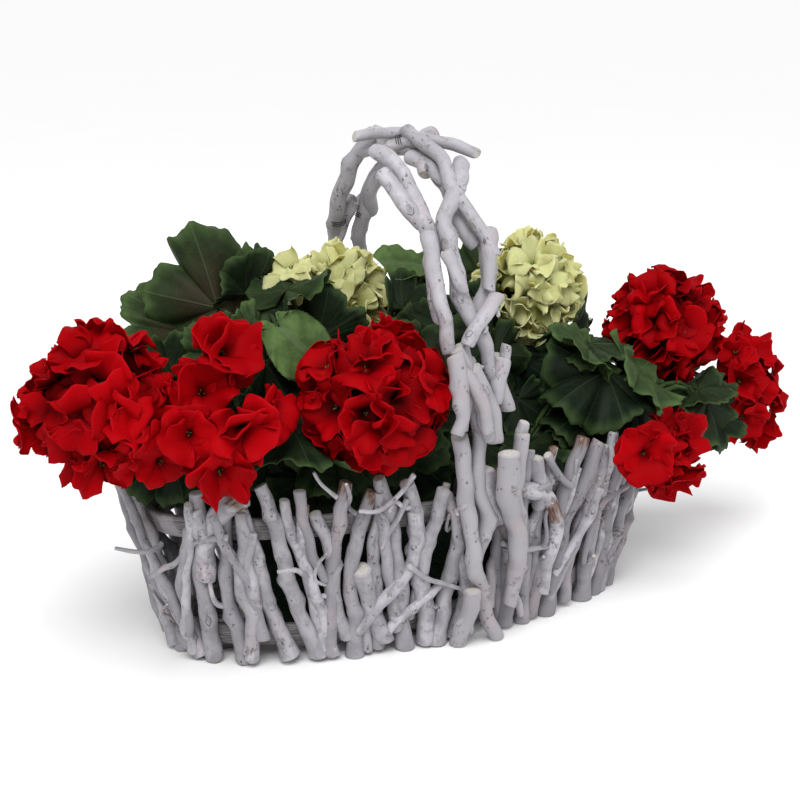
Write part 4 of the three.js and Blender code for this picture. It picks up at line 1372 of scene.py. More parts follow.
@dataclass
class Handle:
    """The arch of crossing branches over the basket's middle."""

    wall: Wall
    top: float = 312
    half_span: float = 93
    exponent: float = 2.33
    lean: float = 0.16
    wall_seat: float = -4
    tops_reach: float = 12
    segment: float = 16
    steepest: float = 0.3
    seat_share: float = 0.94
    steps: int = 60

    def __post_init__(self) -> None:
        """Measures the arch and lays the wall's uprights under it."""
        self.degrees = np.arange(361) / 2
        arch = np.array([self.arch(d)[0] for d in self.degrees])
        self.ways = ways_along(arch)
        self.length = self.ways[-1]
        self.under: list[Points] = []
        self.under_radii: list[float] = []
        for upright in self.wall.uprights:
            self.put_under(upright.line, self.seat_share * upright.radii, 8)

    def put_under(self, line: Points, radii: Points, steps: int) -> None:
        """Adds a branch to those that later ones are laid over.

        Args:
            line: The points of its middle.
            radii: Its radius at each of them.
            steps: Into how many steps each stretch is cut.
        """
        for i in range(len(line) - 1):
            for part in np.arange(steps) / steps:
                self.under.append(lerp(line[i], line[i + 1], part))
                self.under_radii.append(lerp(radii[i], radii[i + 1], part))

    def arch(self, degrees: float) -> tuple[Points, Points]:
        """Finds a place on the arch.

        Args:
            degrees: Its angle from the near rim.

        Returns:
            The point and the outward direction there.
        """
        c, s = math.cos(math.radians(degrees)), math.sin(math.radians(degrees))
        n = self.exponent
        reach = (abs(c) ** n + abs(s) ** n) ** (-1 / n)
        rise = self.top - self.wall.height
        point = np.array([0, -self.half_span * reach * c, self.wall.height + rise * reach * s])
        across = -np.sign(c) * abs(reach * c) ** (n - 1) / self.half_span
        return point, unit(np.array([0, across, abs(reach * s) ** (n - 1) / rise]))

    def station(self, value: float) -> float:
        """Measures a place on the handle.

        Args:
            value: Degrees from the near rim, or millimetres below a rim: negative at the near one,
                or added to 180 at the far one.

        Returns:
            The way along the outline.
        """
        if 0 <= value <= 180:
            return float(np.interp(value, self.degrees, self.ways))
        return self.length + value - 180 if value > 180 else value

    def outline(self, way: float) -> tuple[Points, Points]:
        """Finds a place on the handle's outline, which runs on down both walls.

        Args:
            way: The way along it.

        Returns:
            The point and the outward direction there.
        """
        far = way > self.length / 2
        own = self.length - way if far else way
        side = 1 if far else -1
        if own < 0:
            point = np.array([0, side * (self.half_span + own * self.lean), self.wall.height + own])
            return point, unit(np.array([0, side, -self.lean]))
        degrees = float(np.interp(own, self.ways, self.degrees))
        return self.arch(180 - degrees if far else degrees)

    def clear_height(self, way: float, x: float, radius: float, base: float) -> float:
        """Finds how high a branch has to lie.

        Args:
            way: The way along the outline.
            x: The place along X.
            radius: The branch's radius.
            base: The height where nothing lies under it.

        Returns:
            The height over the outline that clears the branches under it.
        """
        point, outward = self.outline(way)
        point[0] = x
        height = max(base, self.wall_seat) if min(way, self.length - way) < self.tops_reach else base
        apart = point - np.array(self.under)
        along = apart @ outward
        room = radius + np.array(self.under_radii) + CLEARANCE + 0.25
        inside = along**2 - (apart**2).sum(1) + room**2
        over = -along[inside > 0] + np.sqrt(inside[inside > 0])
        return max(height, float(over.max())) if len(over) else height

    def lay(self, route: tuple[Pair, ...], branch: Branch) -> Points:
        """Lays one route over what lies there already.

        Args:
            route: Its stations and places along X.
            branch: The branch that it belongs to.

        Returns:
            The points of its middle.
        """
        line = evenly(np.array([[self.station(at), x, 0.0] for at, x in route]), self.steps)
        needed = np.array([self.clear_height(p[0], p[1], branch.radius * 1.02, branch.base) for p in line])
        away = np.linalg.norm(line[:, None] - line[None], axis=2)
        heights = (needed[None] - self.steepest * away).max(1)
        length = float(np.linalg.norm(line[0] - line[-1]))
        every = self.steps // max(4, math.floor(length / self.segment + 0.5))
        points = []
        for i in range(0, self.steps + 1, every):
            k = self.steps if i + every > self.steps else i
            point, outward = self.outline(line[k][0])
            point[0] = line[k][1]
            points.append(point + outward * (heights[k] - branch.settle))
        return np.array(points)

    def build(self) -> list[Points]:
        """Makes the handle's branches.

        Returns:
            The middle line of each of them, for the ties.
        """
        lines = []
        for number, branch in enumerate(HANDLE_BRANCHES, 1):
            rng = np.random.default_rng(900 + number)
            surface = Surface()
            laid = [self.lay(route, branch) for route in (branch.route, branch.fork) if route]
            for line in laid:
                self.put_under(line, np.full(len(line), branch.radius), 5)
                count = max(2, round(np.linalg.norm(line[0] - line[-1]) / 28))
                radii = branch.radius * ROUNDING * np.array(branch.taper)
                Stick(line, radii, rng, 20, count, slant=0.5, rot=branch.rot).build(surface)
                self.add_stubs(surface, line, branch.radius, rng, count)
            lines.append(laid[0])
            name = f"handle_branch_{number:02d}"
            surface.as_object(f"handle_stick_{number:02d}", LIT_WHITEWASH, (name,), crease=42)
        self.add_pieces()
        return lines

    def add_pieces(self) -> None:
        """Makes the shorter pieces that are tied to the arch."""
        rng = np.random.default_rng(940)
        surface = Surface()
        for way, radius, tip in HANDLE_PIECES:
            radii = radius * np.linspace(1.04, tip, 4)
            Stick(np.array(way, float), radii, rng, slant=0.45).build(surface)
        surface.as_object("handle_pieces", LIT_WHITEWASH, crease=42)

    def add_stubs(self, surface: Surface, line: Points, radius: float, rng: Rng, count: int) -> None:
        """Adds cut-off side twigs to a branch of the handle.

        Args:
            surface: Where they go.
            line: The branch's middle.
            radius: The branch's radius.
            rng: Gives the draws.
            count: How many there are at most.
        """
        heading = headings(line)
        for _ in range(int(rng.integers(0, count // 2 + 2))):
            i = int(rng.integers(0, len(line) - 1))
            start = lerp(line[i], line[i + 1], rng.random())
            _, outward = self.outline(float(self.length / 2 if start[2] > 250 else 0))
            sideways = np.cross(heading[i], outward)
            toward = heading[i] * rng.uniform(0.6, 1) + sideways * rng.choice([-1, 1]) * rng.uniform(0.5, 1)
            length, thick = radius + rng.uniform(2.5, 8), radius * rng.uniform(0.3, 0.48)
            Twig(start, toward, length, thick, rng).build(surface)


# --- flowers
@dataclass
class Floret:
    """One flower of a head: five broad waved petals that rise out of a funnel."""

    throat: Points
    facing: Points
    radius: float
    rng: Rng
    flare: Pair = (72, 14)
    ruffle: float = 0.13
    rows: int = 12
    columns: int = 13
    curl: float = 1.0
    breadth: float = 1.0

    def build(self, surface: Surface, within: Moves, shade: Moves) -> None:
        """Adds the floret's petals.

        Args:
            surface: Where they go.
            within: Moves points clear of what is beside the floret.
            shade: Gives how open to the light each point is.
        """
        basis = basis_from(self.facing, self.rng.normal(size=3))
        spin = self.rng.uniform(0, TAU)
        for petal in range(5):
            turn = spin + TAU * petal / 5 + self.rng.normal(0, 0.12)
            local, reach, rim, across = self.petal()
            (x, y, z), c, s = local.T, math.cos(turn), math.sin(turn)
            turned = np.column_stack([x * c - y * s, x * s + y * c, z])
            points = within(turned @ basis + self.throat)
            tone = 1 + self.rng.uniform(-0.16, 0.14)
            faces = grid_faces(self.rows, self.columns)
            surface.add(points, faces, reach=reach, rim=rim, across=across, tone=tone, open=shade(points))

    def petal(self) -> tuple[Points, Points, Points, Points]:
        """Shapes one petal, lying along X with the floret's axis up.

        Returns:
            Its points, and for each its reach, its nearness to the rim and its place across.
        """
        rng = self.rng
        v = np.linspace(0, 1, self.rows)[:, None]
        u = np.linspace(-1, 1, self.columns)[None]
        start, end = self.flare
        end += rng.normal(0, 20)
        opened = start + (end - start) * smoothstep(v, 0.0, 0.75)
        angle = np.radians(opened - rng.uniform(-10, 55) * smoothstep(v, 0.7, 1))
        step = self.radius * rng.uniform(1.02, 1.28) / (self.rows - 1)
        out = np.vstack([[[0]], np.cumsum(np.cos(angle[1:]) * step, axis=0)])
        rise = np.vstack([[[0]], np.cumsum(np.sin(angle[1:]) * step, axis=0)])
        half = self.radius * self.breadth * rng.uniform(0.54, 0.68) * (0.12 + 1.22 * v - 0.38 * v**3)
        draw_in = 1 - self.breadth * rng.uniform(0.25, 0.34) * np.abs(u) ** 2.2 * smoothstep(v, 0.35, 1)
        lip = smoothstep(v, 0.35, 1)
        scallop = 0.045 * np.sin(rng.uniform(4, 6) * u + rng.uniform(0, TAU))
        scallop += 0.018 * np.sin(11 * u + rng.uniform(0, TAU))
        point = rng.uniform(0, 0.06) * np.exp(-(((u - rng.uniform(-0.8, 0.8)) / 0.16) ** 2))
        stretch = draw_in + (scallop + point) * lip
        x = out * stretch
        y = half * np.sin(u * 1.25) / math.sin(1.25)
        z = rise * (0.35 + 0.65 * draw_in)
        z += rng.uniform(-0.08, 0.3) * half * u**2
        z += 0.06 * self.radius * u * v**0.7
        z -= rng.uniform(0, 0.08) * self.radius * np.exp(-((u / 0.22) ** 2)) * lip
        size = self.ruffle * self.radius * rng.uniform(0.6, 1.5)
        wave = np.sin(rng.uniform(2.4, 4.6) * u + rng.uniform(0, TAU))
        z += size * lip * wave
        x += 0.3 * size * lip**2 * np.sin(rng.uniform(3, 5.5) * u + rng.uniform(0, TAU))
        z += 0.42 * size * lip**2 * np.sin(rng.uniform(7, 10) * u + rng.uniform(0, TAU))
        if rng.random() < 0.5:
            side = rng.choice([-1, 1])
            fold = smoothstep(side * u, 0.2, 1) * lip
            z += self.curl * fold * self.radius * rng.uniform(0.12, 0.42)
            y -= self.curl * side * fold * half * rng.uniform(0.25, 0.55)
        shape = (self.rows, self.columns)
        points = np.stack([np.broadcast_to(part, shape) for part in (x, y, z)], -1).reshape(-1, 3)
        rim = np.maximum(v**1.2, np.abs(u) ** 2.5 * smoothstep(v, 0.25, 0.6))
        return points, *(np.broadcast_to(part, shape).ravel() for part in (v, rim, u))

    def add_stalk(self, surface: Surface, way: Points) -> None:
        """Adds the floret's green cup, its stalk and its stamens.

        Args:
            surface: Where they go.
            way: The points of the stalk's line, from behind the floret.
        """
        throat, facing, rng = self.throat, self.facing, self.rng
        line = evenly(np.vstack([throat - facing * 0.6, throat - facing * 5, way]), 8)
        radii = np.interp(np.linspace(0, 1, 9), [0, 0.12, 0.3, 1], [2.6, 1.5, 0.9, 1.0])
        tube(surface, line, radii, 6, tone=0.4, reach=0.3, lobe=0.5)
        basis = basis_from(facing, rng.normal(size=3))
        for k in range(3):
            turn = TAU * k / 3 + rng.uniform(0, 1)
            lean = (basis[0] * math.cos(turn) + basis[1] * math.sin(turn)) * rng.uniform(0.8, 1.8)
            tip = throat + facing * rng.uniform(5, 8) + lean
            line = np.array([throat, lerp(throat, tip, 0.6), tip])
            tube(surface, line, np.array([0.25, 0.25, 0.45]), 4, tone=0.7)


@dataclass(frozen=True)
class Head:
    """A flower head, which stands for one node."""

    name: str
    middle: Place
    seed: int

    def far(self, points: Points) -> Points:
        """Returns how far each point is from the head's middle."""
        return np.linalg.norm(points - np.array(self.middle), axis=1)

    def at_distance(self, points: Points, far: Points) -> Points:
        """Returns the points, moved to other distances from the head's middle."""
        middle = np.array(self.middle)
        return middle + (points - middle) * (far / np.maximum(self.far(points), 1e-6))[:, None]

    def dress(self, petals: Surface, green: Surface, finish: Finish) -> None:
        """Makes the head's petals, and its stalks with their cups."""
        petals.as_object(f"{self.name}_petals", finish, (self.name,), thickness=0.35)
        green.as_object(f"{self.name}_stalks", GREEN)


@dataclass(frozen=True)
class DenseHead(Head):
    """A round head packed with florets that overlap in layers."""

    radius: float
    down: Place
    finish: Petal = RED
    florets: int = 32
    floret_share: float = 0.5
    ruffle: float = 0.17
    tilt: float = 0.26
    hanging: tuple[tuple[Place, Place, float], ...] = ()
    buds: tuple[Place, ...] = ()

    def build(self) -> None:
        """Makes the head's petals and its stalks."""
        rng = np.random.default_rng(self.seed)
        middle = np.array(self.middle)
        facings = around_ball(self.florets + 1, unit(np.array(self.down) - middle))[:-1]
        petals, green = Surface(), Surface()
        for facing in facings:
            away = unit(facing + rng.normal(0, 0.1, 3))
            size = self.radius * self.floret_share * rng.uniform(0.88, 1.14)
            throat = middle + away * self.radius * rng.uniform(0.44, 0.66)
            towards = unit(away + rng.normal(0, self.tilt, 3))
            flare = (rng.uniform(58, 80), rng.uniform(-6, 44))
            flower = Floret(throat, towards, size, rng, flare, self.ruffle)
            flower.build(petals, self.within, self.shade)
            flower.add_stalk(green, np.array([middle + away * 4, middle]))
        for place, towards, size in self.hanging:
            throat, facing = middle + place, unit(np.array(towards, float))
            flower = Floret(throat, facing, size, rng, (70, rng.uniform(4, 26)), 0.15)
            flower.build(petals, lambda points: points, lambda points: np.ones(len(points)))
            flower.add_stalk(green, np.array([lerp(throat, middle, 0.5), middle]))
        for bud in self.buds:
            tip = middle + bud
            line = evenly(np.vstack([middle, lerp(middle, tip, 0.7), tip]), 12)
            radii = np.interp(np.linspace(0, 1, 13), [0, 0.78, 0.86, 0.93, 1], [0.8, 0.8, 2.3, 2.5, 0.5])
            tube(green, line, radii, 8, tone=0.35, reach=0.3, lobe=0.5)
        self.dress(petals, green, self.finish)

    def within(self, points: Points) -> Points:
        """Draws points outside the head's lumpy ball softly back to it.

        Args:
            points: The points, a row each.

        Returns:
            The moved points.
        """
        away, far = unit(points - np.array(self.middle)), self.far(points)
        lumps = np.sin(away @ np.array([3.1, -2.3, 2.7]) + self.seed)
        lumpy = 1 + 0.07 * lumps * np.sin(away[:, 2] * 3 + self.seed)
        start, span = self.radius * 0.96 * lumpy, self.radius * 0.2
        far = np.where(far > start, start + span * np.tanh((far - start) / span), far)
        return self.at_distance(points, far)

    def shade(self, points: Points) -> Points:
        """Returns how open to the light points are: dark deep inside, full outside."""
        return smoothstep(self.far(points) / self.radius, 0.58, 0.98)


CREAMY = (CREAM, 34, 0.47, 0.24)
DENSE_HEADS = (
    DenseHead("red_bloom_left", (-218, -30, 175), 11, 45, (-104, 0, 84), hanging=(
        ((-4, -16, -27), (-7, -18, -5), 20),
        ((26, -22, -29), (1, -10, -2), 18),
    )),
    DenseHead("red_bloom_centre", (-64, -75, 172), 12, 43, (-56, -28, 88)),
    DenseHead("red_bloom_right", (205, -5, 173), 13, 41, (108, 4, 84), buds=((-23, 15, 35),)),
    DenseHead("cream_bloom_left", (-38, 27, 206), 14, 37, (-44, 24, 92), *CREAMY, hanging=(
        ((-41, -20, 17), (-5, -6, 6), 16),
        ((-35, -13, 25), (-1, -1, 2), 15),
    )),
    DenseHead("cream_bloom_right", (116, 35, 200), 15, 38, (54, 24, 92), *CREAMY),
)


def clear_of_heads(points: Points, room: float) -> Points:
    """Moves points out of the dense heads.

    Args:
        points: The points, a row each.
        room: How far they stay from a head's outside.

    Returns:
        The moved points.
    """
    for head in DENSE_HEADS:
        points = head.at_distance(points, np.maximum(head.far(points), head.radius + room))
    return points


@dataclass(frozen=True)
class LooseHead(Head):
    """Florets of two layers of petals, on stalks that meet in a knot."""

    florets: tuple[tuple[Place, Place, float], ...]
    layer_tilt: float = 0.28
    curl: float = 0.4
    breadth: float = 1.2

    def build(self) -> None:
        """Makes the head's petals and its stalks."""
        rng = np.random.default_rng(self.seed)
        knot = np.array(self.middle)
        petals, green = Surface(), Surface()
        for place, towards, radius in self.florets:
            at, facing = knot + place, unit(np.array(towards, float))
            throat = at - facing * 6
            flare = (70, rng.uniform(6, 30))
            upper = Floret(throat, facing, radius * 1.1, rng, flare, 0.15, 14, 15, self.curl, self.breadth)
            upper.build(petals, self.clear, self.shade)
            lower = unit(facing + rng.normal(0, self.layer_tilt, 3))
            flare = (64, rng.uniform(20, 46))
            behind = throat - lower * 3
            under = Floret(behind, lower, radius, rng, flare, 0.17, 12, 13, self.curl, self.breadth)
            under.build(petals, self.clear, self.shade)
            upper.add_stalk(green, np.array([knot + facing * 4, knot]))
            end = knot + unit(at - knot) * 5
            way = np.array([knot - unit(end - knot) * 2, knot, end])
            tube(green, way, np.array([2.0, 2.8, 1.0]), 8, tone=0.35)
        self.dress(petals, green, RED)

    def clear(self, points: Points) -> Points:
        """Returns the points, moved just clear of the dense heads."""
        return clear_of_heads(points, 0.5)

    def shade(self, points: Points) -> Points:
        """Returns how open to the light points are: half at the knot, full outside."""
        return 0.5 + 0.5 * smoothstep(self.far(points), 14, 44)


LOOSE_HEADS = (
    LooseHead("red_bloom_loose_left", (-154, -50, 150), 31, (
        ((3, -5, 54), (0, -4, 3), 23),
        ((-12, -10, 33), (-4, -8, 5), 20),
        ((25, -22, 19), (5, -9, 2), 17),
        ((-26, -24, 14), (-6, -8, 1), 18),
        ((1, -38, 17), (-1, -10, 2), 20),
        ((-11, -32, -8), (-3, -9, -4), 20),
    )),
    LooseHead("red_bloom_low_right", (158, -60, 132), 32, (
        ((-27, -24, -22), (-7, -18, -2), 20),
        ((13, -9, -20), (3, -9, 1), 19),
        ((10, -10, -44), (1, -8, -5), 19),
        ((-10, -20, -34), (0, -19, -7), 16),
        ((-3, -14, -12), (2, -15, 12), 15),
    )),
    LooseHead("red_bloom_far_right", (270, 6, 118), 33, (
        ((22, -2, 23), (3, -5, 8), 20),
        ((39, -1, -4), (7, -6, 1), 21),
        ((33, -2, -36), (6, -4, -7), 17),
        ((-2, -20, 9), (-1, -3, 1), 19),
        ((28, 24, -14), (6, 8, -1), 20),
        ((3, -20, -19), (-2, -9, -5), 19),
        ((-2, -14, 30), (-3, -5, 8), 15),
        ((20, -18, -2), (2, -9, 1), 14),
    )),
)


# --- leaves
class Tint(Enum):
    """How fresh a leaf's green is, and how far it is russet inside."""

    DARK = (0.03, 0.1)
    MID = (0.1, 0.05)
    LIGHT = (0.34, 0.0)
    FRESH = (0.85, 0.0)
    RUSSET = (0.2, 0.7)


DARK, MID, LIGHT, FRESH, RUSSET = Tint


@dataclass(frozen=True)
class Leaf:
    """A lobed leaf: its foot, the way from there to its tip, and where its face looks."""

    junction: Place
    blade: Place
    face: Place
    tint: Tint = DARK
    over: Place | None = None
    ovate: bool = False
    fold: float = 0.0


@dataclass(frozen=True)
class LeafyStem:
    """A stem in the foam with its leaves and the stalks of the heads that it carries."""

    name: str
    seed: int
    base: Place
    fork: Place
    leaves: tuple[Leaf, ...]
    stalks: tuple[tuple[tuple[Place, ...], float], ...]
    lobes: int = 5
    lobed_span: float = 310
    rows: int = 15
    columns: int = 131
    fork_from: float = 66
    stem_radii: Pair = (3, 2.3)
    petiole_radius: float = 1.5

    def build(self) -> None:
        """Makes the stem, its stalks and its leaves."""
        rng = np.random.default_rng(self.seed)
        blades, stems = Surface(), Surface()
        base, fork = np.array(self.base), np.array(self.fork)
        foot = np.array([base[0], base[1], 12.0])
        above = np.array([base[0], base[1], float(self.fork_from)])
        line = evenly(np.vstack([foot, above, fork, fork + [0, 0, 4]]), 16)
        tube(stems, line, np.linspace(*self.stem_radii, 17), 10, tone=0.22)
        for way, radius in self.stalks:
            line = evenly(np.vstack([fork - [0, 0, 6], *way]), 18)
            tube(stems, line, np.linspace(radius * 1.2, radius, 19), 8, tone=0.3)
        for leaf in self.leaves:
            self.add_leaf(blades, stems, leaf, rng)
        blades.as_object(f"{self.name}_leaves", GREEN, (self.name,), thickness=0.45)
        stems.as_object(f"{self.name}_stems", GREEN)

    def add_leaf(self, blades: Surface, stems: Surface, leaf: Leaf, rng: Rng) -> None:
        """Adds a leaf's blade and its petiole.

        Args:
            blades: What the blade is added to.
            stems: What the petiole is added to.
            leaf: The leaf.
            rng: Gives the draws.
        """
        junction, blade = np.array(leaf.junction, float), np.array(leaf.blade, float)
        size = float(np.linalg.norm(blade))
        along = unit(blade)
        basis = basis_from(np.array(leaf.face), along)
        basis = np.array([along, np.cross(unit(basis[2] - along * (basis[2] @ along)), along), basis[2]])
        basis[2] = np.cross(basis[0], basis[1])
        half = math.radians(self.lobed_span / 2)
        turn = np.linspace(-half, half, self.columns)
        lobe_at = (turn / half + 1) / 2 * self.lobes
        across = 2 * (lobe_at - np.floor(lobe_at)) - 1
        across[-1] = 1
        share = np.abs(turn) / math.pi
        outline = (1 - 0.24 * share**2) * (1.03 - 0.23 * np.abs(across) ** 3.2)
        outline *= 1 + 0.032 * np.cos(across * 3 * math.pi)
        outline *= 1 + 0.018 * np.sin(turn * 37 + rng.uniform(0, 6))
        for lobe in range(self.lobes):
            outline[np.floor(lobe_at).astype(int) == lobe] *= rng.uniform(0.96, 1.03)
        if leaf.ovate:
            across = turn / half
            outline = 0.17 + 0.8 * np.cos(turn / 2) ** 7 + 0.1 * np.exp(-((turn / 0.13) ** 2))
            outline *= 1 + 0.012 * np.cos(60 * turn)
        notch = smoothstep(np.abs(turn), half * 0.93, half)
        outline *= 1 - 0.45 * notch
        reach = np.linspace(0.02, 1, self.rows)[:, None] ** 0.9
        far = size * reach * outline
        first, second, third = rng.uniform(0, TAU, 3)
        pleat = 0.25 * (0.45 - 0.9 * across**2) * reach**1.15
        fine = 0.022 * np.cos(across * 3 * math.pi) * smoothstep(reach, 0.3, 1)
        bend = -rng.uniform(0.1, 0.34) * reach**2 * outline
        wave = rng.uniform(0.12, 0.24) * reach**2 * np.sin(2 * turn + first)
        wave += rng.uniform(0.07, 0.15) * reach**3 * np.sin(5 * turn + second)
        frill = 0.034 * reach**6 * np.sin(19 * turn + third)
        side = rng.choice([-1, 1])
        curl = rng.uniform(0, 0.4) * smoothstep(side * np.sin(turn) * reach, 0.2, 1)
        fold = -0.1 * np.abs(np.sin(turn + 0.2 * math.sin(third))) * reach
        height = size * (pleat + fine + bend + wave + frill + curl + fold * rng.uniform(-0.6, 0.6))
        beside = far * np.sin(turn)
        folded = smoothstep(beside * np.sign(leaf.fold) / size, 0, 0.25) * abs(leaf.fold)
        height -= np.abs(beside) * np.sin(folded)
        beside *= np.cos(folded)
        local = np.stack([far * np.cos(turn), beside, height], -1).reshape(-1, 3)
        fresh, russet = leaf.tint.value
        blades.add(
            clear_of_heads(local @ basis + junction, 3.0),
            grid_faces(self.rows, self.columns),
            reach=np.repeat(reach, self.columns),
            lobe=np.tile(across, self.rows),
            tone=fresh + rng.uniform(-0.04, 0.08),
            russet=russet,
            blade=1.0,
        )
        behind = -basis[2]
        base, fork = np.array(self.base, float), np.array(self.fork, float)
        base[2] = self.fork_from
        foot = lerp(base, fork, 0.25 + 0.7 * rng.random())
        bend_at = junction + behind * 12
        halfway = np.array(leaf.over or lerp(bend_at, foot, 0.5) + np.array([0, 0, 5.0]), float)
        line = evenly(np.vstack([junction + behind * 0.3, bend_at, halfway, foot]), 16)
        tube(stems, line, np.linspace(self.petiole_radius, self.petiole_radius * 1.15, 17), 8, tone=0.35)


